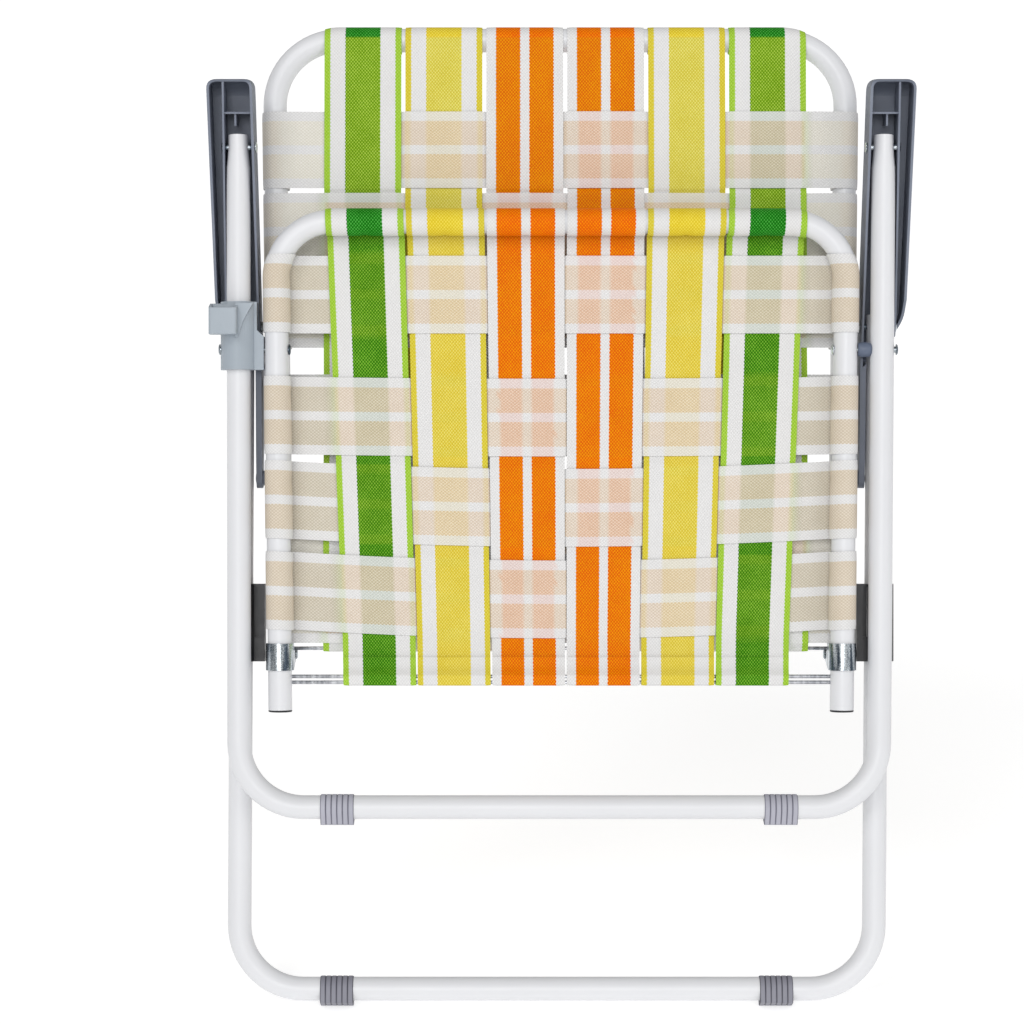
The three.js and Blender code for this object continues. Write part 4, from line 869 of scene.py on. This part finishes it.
def add_long_strap(panel, column):
    """A strap from its tail round the rail, down over its crossings and round the rod."""
    edges, rail, lit = panel.edges(column), panel.rail, panel.states[0]
    rows = [z + hung(panel, sag, sum(edges(z)) / 2) for z, sag in zip(panel.rows, panel.sags)]
    crossings = []
    for r, z in enumerate(rows):
        crossings.append((z + WEB / 2, z - WEB / 2, 1 if is_front(column, r) else -1))
    middle = woven(crossings, panel.side)
    fold = tube_fold(panel.side)[::-1]
    (fold_run, fold_depth, _), (first_run, first_depth, _) = fold[-1], middle[0]
    stations = [(run, depth, angle, None) for run, depth, angle in fold]
    for s in LEAD:
        run = fold_run + (first_run - rail - fold_run) * s
        stations.append((run, fold_depth + (first_depth - fold_depth) * ease(s), 0, None))
    stations += [(run, depth, None, crossing) for run, depth, crossing in middle]
    (last_run, last_depth, _), (low_run, low_depth) = middle[-1], panel.lower[0]
    for s in (0.25, 0.5, 0.75):
        run = last_run + (low_run - last_run) * s
        stations.append((run, last_depth + (low_depth - last_depth) * s, None, None))
    stations += [(run, depth, None, None) for run, depth in panel.lower]
    grid, state = [], []
    for run, depth, angle, crossing in stations:
        folded = angle is not None
        left, right = edges(rail + run if folded else run)
        line = []
        for share in SHARES:
            x, deep, z = left + (right - left) * (share + 1) / 2, depth, run
            if folded:
                fall, widening = bend_at(abs(x) - panel.rail_half + panel.bend, panel.bend)
                off = 1 + pucker(share, angle) / ROUND
                z = rail + run * off * (widening if run < 0 else 1) - fall
                deep = depth * off
            line.append((x, deep + slack(panel, x, z), z))
        grid.append(line)
        # Painted light over a pale crossing, painted shade round the rail, and the panel's own
        # level elsewhere.
        if crossing is not None and is_front(column, crossing):
            across_tan = abs(run - rows[crossing]) / (WEB / 2)
            over_white = not WHITE_EDGES[0] <= across_tan <= WHITE_EDGES[1]
            state.append(lit + (1 - lit) * (OVER_WHITE if over_white else OVER_TAN))
        elif folded:
            state.append(lit - (1 + lit) * ease(angle / PAINTED_SHADE_ANGLE))
        else:
            state.append(lit)
    along = distances([(s[0] if s[2] is None else rail + s[0], s[1]) for s in stations])
    below = np.zeros((len(grid), len(SHARES), 4))
    name = f"{panel.name}_web_long_{column + 1}"
    add_strap(name, grid, along, below, state, ORDER[column], panel)


for column in range(len(ORDER)):
    for panel in (BACK, SEAT):
        add_long_strap(panel, column)
print("long straps", 2 * len(ORDER))

# %% [markdown]
# ## Cross straps
#
# A cross strap goes from tube to tube, with a tail folded back behind each. It could be made
# as the long ones are, but the tubes taper and bend, so each line along it is worked out on
# its own, at its own height. These straps are pale, so the bright strap beneath shows
# through a little, stripe by stripe.

# %% Cross straps
# The first number is how many stations beside a side tube take the panel's painted level near the
# tube: lit on the back, shaded on the seat.
PAINTED_NEAR_TUBE_STEPS, FASTENED_OFF = 5, 0.25


def stripe(colour, share):
    """The colour of one place across a strap."""
    start, stop, edge = STRAPS[colour]["stops"]
    place = abs(share)
    if start < place < stop:
        return STRAPS[colour]["main"]
    return STRAPS[colour]["edge"] if place > edge else WHITE


def add_cross_strap(panel, row):
    """A strap from its tail round one side tube, over its crossings and round the other."""
    _, near_tube, round_tube = panel.states
    fold = tube_fold(panel.side)
    columns = [panel.edges(column) for column in range(len(ORDER))]
    overs = [-1 if is_front(column, row) else 1 for column in range(len(ORDER))]
    lines = []
    for share in SHARES:
        z = panel.rows[row] - share * WEB / 2
        fall, widening = bend_at(z - panel.rail + panel.bend, panel.bend)
        middle = woven([(*edges(z), over) for edges, over in zip(columns, overs)], panel.side)
        rim = panel.half(z) - fall
        right = []
        for run, depth, angle in fold:
            off = 1 + pucker(share * 0.5 + FASTENED_OFF, angle) / ROUND
            right.append((rim + run * off * (widening if run < 0 else 1), depth * off, None))
        left = [(-x, depth, None) for x, depth, _ in right][::-1]
        joins = []
        for (ax, ad, _), (bx, bd, _) in ((left[-1], middle[0]), (middle[-1], right[0])):
            joins.append([(ax + (bx - ax) * s, ad + (bd - ad) * ease(s), None) for s in LEAD])
        points = left + joins[0] + middle + joins[1] + right
        lines.append([(x, depth, crossing, z) for x, depth, crossing in points])
    grid, below, state = [], [], []
    count = len(lines[0])
    for i in range(count):
        from_end = min(i, count - 1 - i) - len(fold)
        # Painted light and shade: round the side tube and beside it, the tan is painted lit on the
        # back and shaded on the seat.
        state.append(round_tube if from_end < 0 else near_tube if from_end < PAINTED_NEAR_TUBE_STEPS else 0.0)
        station, tints = [], []
        for line in lines:
            x, depth, crossing, z = line[i]
            station.append((x, depth + slack(panel, x, z), z + hung(panel, panel.sags[row], x)))
            tint = (0, 0, 0, 0)
            if crossing is not None and not is_front(crossing, row):
                left, right = columns[crossing](z)
                below_share = 2 * (x - left) / (right - left) - 1
                tint = (*stripe(ORDER[crossing], below_share), SEEN_THROUGH_TAN)
            tints.append(tint)
        grid.append(station)
        below.append(tints)
    along = distances(lines[len(lines) // 2])
    add_strap(f"{panel.name}_web_cross_{row + 1}", grid, along, below, state, "tan", panel)


for panel in (BACK, SEAT):
    for row in range(len(panel.rows)):
        add_cross_strap(panel, row)
print("cross straps", len(BACK_ROWS) + len(SEAT_ROWS))

# %% [markdown]
# ## Feet
#
# Each foot is a sleeve with six rounded ribs, thin over the top of the tube and with a flat sole
# below. But for the sole it could be turned like a rivet. So rings of one section, which change
# only in size, run from rib to rib along the rail. The grooves between the ribs see little light
# and hold dust, so the finish paints them darker: painted shade and dust together.

# %% Feet
FOOT_LENGTH, FOOT_PLACE, FOOT_RIBS, FOOT_SIDES, FOOT_ROUGHNESS = 31, 206, 6, 64, 0.5
FOOT_RADIUS, SOLE_DROP, SOLE_HALF_WIDTH, SOLE_INSET, SOLE_CORNER = 12.2, 14.9, 8.6, 0.6, 0.6
FOOT_BORE, SOLE_ANGLE = 11.3, math.radians(20.5)
GROOVE_CONTRAST, GROOVE_START = 1.8, 0.8
# Across one rib: the share of its pitch, and how far the surface lies in from the crest.
RIB = (
    (0, 0.65), (0.05, 0.3), (0.14, 0.08), (0.3, 0),
    (0.7, 0), (0.86, 0.08), (0.95, 0.3), (1, 0.65),
)


def foot_finish(name, colour, worn, groove_shade_and_dust, slip):
    """Moulded plastic with painted shade and dust that darken the grooves between a foot's ribs.
    """
    finish = Finish(name)
    x = finish.parts(finish.object_place(1000))[0]
    from_end = abs(x - slip) - (FOOT_PLACE - FOOT_LENGTH / 2)
    wave = (from_end * (math.tau * FOOT_RIBS / FOOT_LENGTH) + math.pi / 2).sine()
    # Painted shade and dust darken the grooves between the ribs.
    in_groove = (wave * GROOVE_CONTRAST - GROOVE_START).clamped()
    base = drifting(finish, colour, worn)
    finish.paint("Base Color", finish.mix(in_groove, base, groove_shade_and_dust))
    moulded(finish, FOOT_ROUGHNESS)
    return finish.material


def foot_section(x, inset, bore=None):
    """A ring of a foot: round above, with flanks that run straight to the flat sole's edges."""
    round_part, sole = FOOT_RADIUS - inset, SOLE_DROP - inset * SOLE_INSET
    corner = math.hypot(SOLE_HALF_WIDTH, sole)
    flank = math.acos(round_part / corner) - math.atan2(sole, SOLE_HALF_WIDTH)
    ring = []
    for i in range(FOOT_SIDES):
        angle = math.tau * i / FOOT_SIDES
        c, s = math.cos(angle), math.sin(angle)
        down = math.atan2(s, abs(c))
        reach = bore or round_part
        if not bore and down < flank:
            flank_reach = round_part / max(math.cos(down - flank), 0.1)
            reach = min(flank_reach, sole / -s, corner - SOLE_CORNER)
        ring.append((x, reach * c, reach * s))
    return ring


def add_foot(name, side, z, sole, slip, place, finish):
    """One foot on its rail, turned so that its sole is level where the chair stands."""
    pitch = FOOT_LENGTH / FOOT_RIBS
    outer = []
    for rib in range(FOOT_RIBS):
        start = -FOOT_LENGTH / 2 + rib * pitch
        for share, inset in RIB if rib == FOOT_RIBS - 1 else RIB[:-1]:
            outer.append(foot_section(start + share * pitch, inset))
    inner = [foot_section(end * FOOT_LENGTH / 2, 0, FOOT_BORE) for end in (-1, 1)]
    points, faces = skin(outer, inner)
    place = place @ shift(side * FOOT_PLACE + slip, 0, z) @ turn(sole)
    add_piece(name, points, faces, place, finish)


# Each foot's colour, its worn colour, and the colour of its grooves, which is painted shade and
# dust. The rear greys are darker throughout: painted shade, as the rear feet stand further back in
# the stack.
FRONT_GREYS = (0.37, 0.37, 0.43, 1), (0.45, 0.45, 0.51, 1), (0.14, 0.14, 0.18, 1)
REAR_SHADED_GREYS = (0.21, 0.21, 0.25, 1), (0.28, 0.28, 0.32, 1), (0.06, 0.06, 0.08, 1)
front_foot_plastic = foot_finish("front_foot_plastic", *FRONT_GREYS, FRONT_SLIP)
rear_foot_plastic = foot_finish("rear_foot_plastic", *REAR_SHADED_GREYS, REAR_SLIP)
for side, word in SIDES:
    front, rear = f"front_foot_{word}", f"rear_foot_{word}"
    add_foot(front, side, FRONT_RAIL, LEAN, FRONT_SLIP, in_stack, front_foot_plastic)
    add_foot(rear, side, REAR_RAIL, -SOLE_ANGLE, REAR_SLIP, in_rear, rear_foot_plastic)
print("ribs on a foot", FOOT_RIBS, "with a pitch of", round(FOOT_LENGTH / FOOT_RIBS, 2), "mm")

# %% [markdown]
# ## Rods, rivets and pins
#
# A cylinder with a bevel could stand for each of these, but a rivet's head is a low dome
# with a soft shoulder, pressed over its shank, and the spacer bulges like a barrel. So each
# is turned, as on a lathe: a profile of places and radii, spun about an axis across the
# chair. Where a pin or rivet starts and stops is read from its solid.

# %% Rods, rivets and pins
# Up a rivet's head: the share of its height, and of its radius.
DOME = ((0, 0.96), (0.12, 1), (0.4, 0.97), (0.68, 0.84), (0.88, 0.62), (0.97, 0.36), (1, 0.05))


def dome(face, way, radius, height):
    """The rim of a rivet's head, from its face to its low round top."""
    return [(face + way * height * up, radius * out) for up, out in DOME]


def add_turned(name, profile, y, z, side, finish, place, sides=32):
    """One turned piece, mirrored where it is on the left side."""
    profile = [(side * x, r) for x, r in profile]
    points, faces = skin(turned(profile, y, z, sides))
    if side < 0:
        faces = [face[::-1] for face in faces]
    add_piece(name, points, faces, place, finish, smooth=44)


def rivet_profile(inner, outer, shank, head, height, inner_head=True):
    """A shank from one face to the other, with a head outside and mostly one inside."""
    start = dome(inner, -1, head, height)[::-1] if inner_head else [(inner, shank * 0.2)]
    return start + [(inner, shank), (outer, shank)] + dome(outer, 1, head, height)


def arm_place(depth, height):
    """Where a place in the stack lies in the armrests' own frame."""
    drop = FRONT_PIVOT - height
    c, s = math.cos(ARM_TILT), math.sin(ARM_TILT)
    return depth * s + drop * c, depth * c - drop * s


def node_ends(node):
    """How far from the chair's middle a node starts and stops, in millimetres."""
    low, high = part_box(node)
    return min(abs(low[0]), abs(high[0])) * 1000, max(abs(low[0]), abs(high[0])) * 1000


HEAD, HEAD_HEIGHT, LOW_HEIGHT, SHANK, MIDDLE_RIVET = 5.2, 1.9, 0.9, 2.9, 637
PIN_HEAD, PIN_HEIGHT, PIN_SHANK = 4.6, 1.7, 2.4
SEAT_ROD_HALF, BACK_ROD_HALF, ROD_END, ROD_SIDES = 257.4, 258, 0.6, 20
BARREL_END = ((0, 3.4), (0, 5.6), (0.7, 6.3), (3.2, 6.9), (5.2, 7))
middle_y, middle_z = arm_place(DEPTH, MIDDLE_RIVET)
rear_y, rear_z = arm_place(REAR_PIVOT_DEPTH, REAR_PIVOT)
for side, word in SIDES:
    for kind, y, z in (("front", 0, 0), ("middle", middle_y, middle_z)):
        low, high = node_ends(f"arm_{kind}_rivet_{word}")
        profile = rivet_profile(low + HEAD_HEIGHT, high - HEAD_HEIGHT, SHANK, HEAD, HEAD_HEIGHT)
        add_turned(f"arm_{kind}_rivet_{word}", profile, y, z, side, zinc, in_arms)
    low, high = node_ends(f"arm_rear_rivet_{word}")
    profile = rivet_profile(low + LOW_HEIGHT, high - LOW_HEIGHT, SHANK, HEAD, LOW_HEIGHT)
    add_turned(f"arm_rear_rivet_{word}", profile, rear_y, rear_z, side, zinc, in_arms)
    low, high = node_ends(f"seat_pivot_rivet_{word}")
    profile = rivet_profile(low, high - HEAD_HEIGHT, SHANK, HEAD, HEAD_HEIGHT, False)
    add_turned(f"seat_pivot_rivet_{word}", profile, 0, SEAT_PIVOT, side, zinc, in_stack)
    low, high = node_ends(f"seat_inner_rivet_{word}")
    inner = dome(low + HEAD_HEIGHT, -1, HEAD, HEAD_HEIGHT)[::-1]
    profile = inner + [(low + HEAD_HEIGHT, SHANK), (high, SHANK), (high, SHANK * 0.2)]
    add_turned(f"seat_inner_rivet_{word}", profile, 0, SEAT_PIVOT, side, zinc, in_stack)
    low, high = node_ends(f"hinge_pin_{word}")
    profile = rivet_profile(low + PIN_HEIGHT, high - PIN_HEIGHT, PIN_SHANK, PIN_HEAD, PIN_HEIGHT)
    add_turned(f"hinge_pin_{word}", profile, DEPTH, HINGE, side, zinc, in_stack)


def rod_profile(half):
    """A rod as far as half to each side, with its ends' edges taken off."""
    ends = ((half, ROD * 0.7), (half - ROD_END, ROD))
    return [(-x, r) for x, r in ends] + list(ends[::-1])


seat_rod, back_rod = rod_profile(SEAT_ROD_HALF), rod_profile(BACK_ROD_HALF)
add_turned("seat_rod_lower", seat_rod, 0, SEAT_ROD, 1, rod_steel, in_stack, ROD_SIDES)
add_turned("seat_rod_upper", seat_rod, 0, SEAT_ROD_TOP, 1, rod_steel, in_stack, ROD_SIDES)
add_turned("back_rod", back_rod, -BACK_ROD_DEPTH, BACK_ROD, 1, rod_steel, in_back, ROD_SIDES)
low, high = node_ends("pivot_spacer_right")
barrel = [(low + x, r) for x, r in BARREL_END] + [(high - x, r) for x, r in BARREL_END[::-1]]
add_turned("pivot_spacer_right", barrel, 0, SEAT_PIVOT, 1, spacer_plastic, in_stack, 40)
print("spacer", round(high - low, 1), "mm long")

# %% [markdown]
# ## Plugs and clamps
#
# A dark plug closes each lower end of the seat tubes, and is turned like the rivets. Above
# it a strip of zinc-plated sheet is folded round the tube as a saddle, and its two ears reach
# back to hold the hinge pin. It could be cut from a plate and bent by a modifier, but the
# ears' outline is easier to follow along the fold, so the strip is a grid with a thickness.

# %% Plugs and clamps
CAP_RIM = [(0, 2), (0, 10.2), (0.3, 10.9), (0.8, TUBE), (1.4, TUBE), (1.6, 10.9)]
PLUG_STEM, PLUG_DROP = [(1.6, 8.6), (10, 8.4), (10, 2)], 1.9


def add_plug(name, side):
    """A cap with a stem that goes up into the tube, turned upright."""
    points, faces = skin(turned(CAP_RIM + PLUG_STEM, 0, 0))
    points = [(-z, y, x) for x, y, z in points]
    place = in_stack @ shift(side * seat_half(SEAT_END), 0, SEAT_END - PLUG_DROP)
    add_piece(name, points, faces, place, black_plastic)


CLAMP_CLEAR, CLAMP_THICK = 0.5, 1.3
CLAMP_MIDDLE = TUBE + CLAMP_CLEAR + CLAMP_THICK / 2
# The ears' outline: how far back, and how far above and below the hinge.
EAR_DEPTHS = (4, 16, 24.4, 25.2, 26.5, 28, 30, 31.5, 32.6, 33.3, 33.5)
EAR_HIGHS = (11.5, 2.9, 2.9, 4.4, 5.3, 5.5, 5.1, 4.2, 3.0, 1.5, 0.2)
EAR_LOWS = (-13.5, -9.6, -6.8, -6.4, -5.9, -5.5, -5.1, -4.2, -3.0, -1.5, -0.2)


def add_clamp(name, side):
    """A strip folded round the seat tube, with ears whose outline narrows to the hinge pin."""
    centre = seat_half(HINGE)
    ear = np.linspace(EAR_DEPTHS[-1], 1, 40)
    path = [(CLAMP_MIDDLE, depth) for depth in ear]
    for angle in np.linspace(0, math.pi, 32):
        path.append((CLAMP_MIDDLE * math.cos(angle), -CLAMP_MIDDLE * math.sin(angle)))
    path += [(-CLAMP_MIDDLE, depth) for depth in ear[::-1]]
    grid = []
    for x, depth in path:
        low = HINGE + np.interp(depth, EAR_DEPTHS, EAR_LOWS)
        high = HINGE + np.interp(depth, EAR_DEPTHS, EAR_HIGHS)
        grid.append([(side * (centre + x), depth, z) for z in np.linspace(low, high, 9)])
    grid = np.array(grid)
    normal = np.cross(np.gradient(grid, axis=0), np.gradient(grid, axis=1))
    normal /= np.linalg.norm(normal, axis=2, keepdims=True)
    outer, inner = grid + normal * CLAMP_THICK / 2, grid - normal * CLAMP_THICK / 2
    rings = np.concatenate([outer, inner[:, ::-1]], axis=1)
    points, faces = skin(rings.tolist())
    add_piece(name, points, [face[::-1] for face in faces], in_stack, zinc, smooth=40)


for side, word in SIDES:
    add_plug(f"seat_tube_plug_{word}", side)
    add_clamp(f"seat_clamp_{word}", side)
print("a clamp stands", round(EAR_DEPTHS[-1] + CLAMP_MIDDLE + CLAMP_THICK / 2, 1), "mm deep")

# %% [markdown]
# ## Moulded parts
#
# The armrests, the slides and the cup holder socket are moulded. Their solids already have
# the real shape, so they stay, and a small bevel gives them the soft edges that a mould
# leaves, which is what catches the light. An armrest's top also curves down into its front
# end, where the solid's ceiling is straight, so a curved wall is added there.

# %% Moulded parts
SMOOTH_BELOW, BEVEL_ABOVE, BEVEL_SEGMENTS = math.radians(32), math.radians(40), 2
ARM_SOFT, SLIDE_SOFT = 0.0005, 0.0006


def soften(node, finish, width):
    """A node that stays as it is, with its finish and a bevel along its edges."""
    piece = frame["nodes"][node]
    piece.data.materials.clear()
    piece.data.materials.append(finish)
    for polygon in piece.data.polygons:
        polygon.use_smooth = True
    piece.data.set_sharp_from_angle(angle=SMOOTH_BELOW)
    bevel = piece.modifiers.new("soft_edges", "BEVEL")
    bevel.width, bevel.segments = width, BEVEL_SEGMENTS
    bevel.limit_method, bevel.angle_limit = "ANGLE", BEVEL_ABOVE


ARM_FRONT, ARM_TOP, NOSE_RADIUS, NOSE_WALL, NOSE_STEPS = -63, 22.1, 18, 2.4, 14
NOSE_INNER, NOSE_OUTER, CORNER_RADIUS, NOSE_INSET, NOSE_SUNK = 285.6, 327.9, 9, 1.2, 0.12


def add_nose(name, side):
    """The curved wall from an armrest's front end to its top plate, between its skirts."""
    angles = [math.pi / 2 * i / NOSE_STEPS for i in range(NOSE_STEPS + 1)]
    profile = []
    for radius, way in ((NOSE_RADIUS - NOSE_SUNK, 1), (NOSE_RADIUS - NOSE_WALL, -1)):
        for angle in angles[::way]:
            y = ARM_FRONT + NOSE_RADIUS - radius * math.cos(angle)
            profile.append((y, ARM_TOP - NOSE_RADIUS + radius * math.sin(angle)))
    rings = []
    for edge, inward in ((NOSE_INNER, 1), (NOSE_OUTER, -1)):
        ring = []
        for y, z in profile:
            short = max(CORNER_RADIUS - (y - ARM_FRONT), 0)
            drawn_in = CORNER_RADIUS - math.sqrt(max(CORNER_RADIUS**2 - short**2, 0))
            ring.append((side * (edge + inward * (NOSE_INSET + drawn_in)), y, z))
        rings.append(ring)
    points, faces = skin(rings)
    if side > 0:
        faces = [face[::-1] for face in faces]
    add_piece(f"{name}_nose", points, faces, in_arms, arm_plastic, node=name, replaced=False)


for side, word in SIDES:
    add_nose(f"armrest_{word}", side)
    soften(f"armrest_{word}", arm_plastic, ARM_SOFT)
    soften(f"leg_slide_{word}", black_plastic, SLIDE_SOFT)
soften("cup_holder_socket", socket_plastic, ARM_SOFT)
print("softened edges", ARM_SOFT * 1000, "and", SLIDE_SOFT * 1000, "mm")
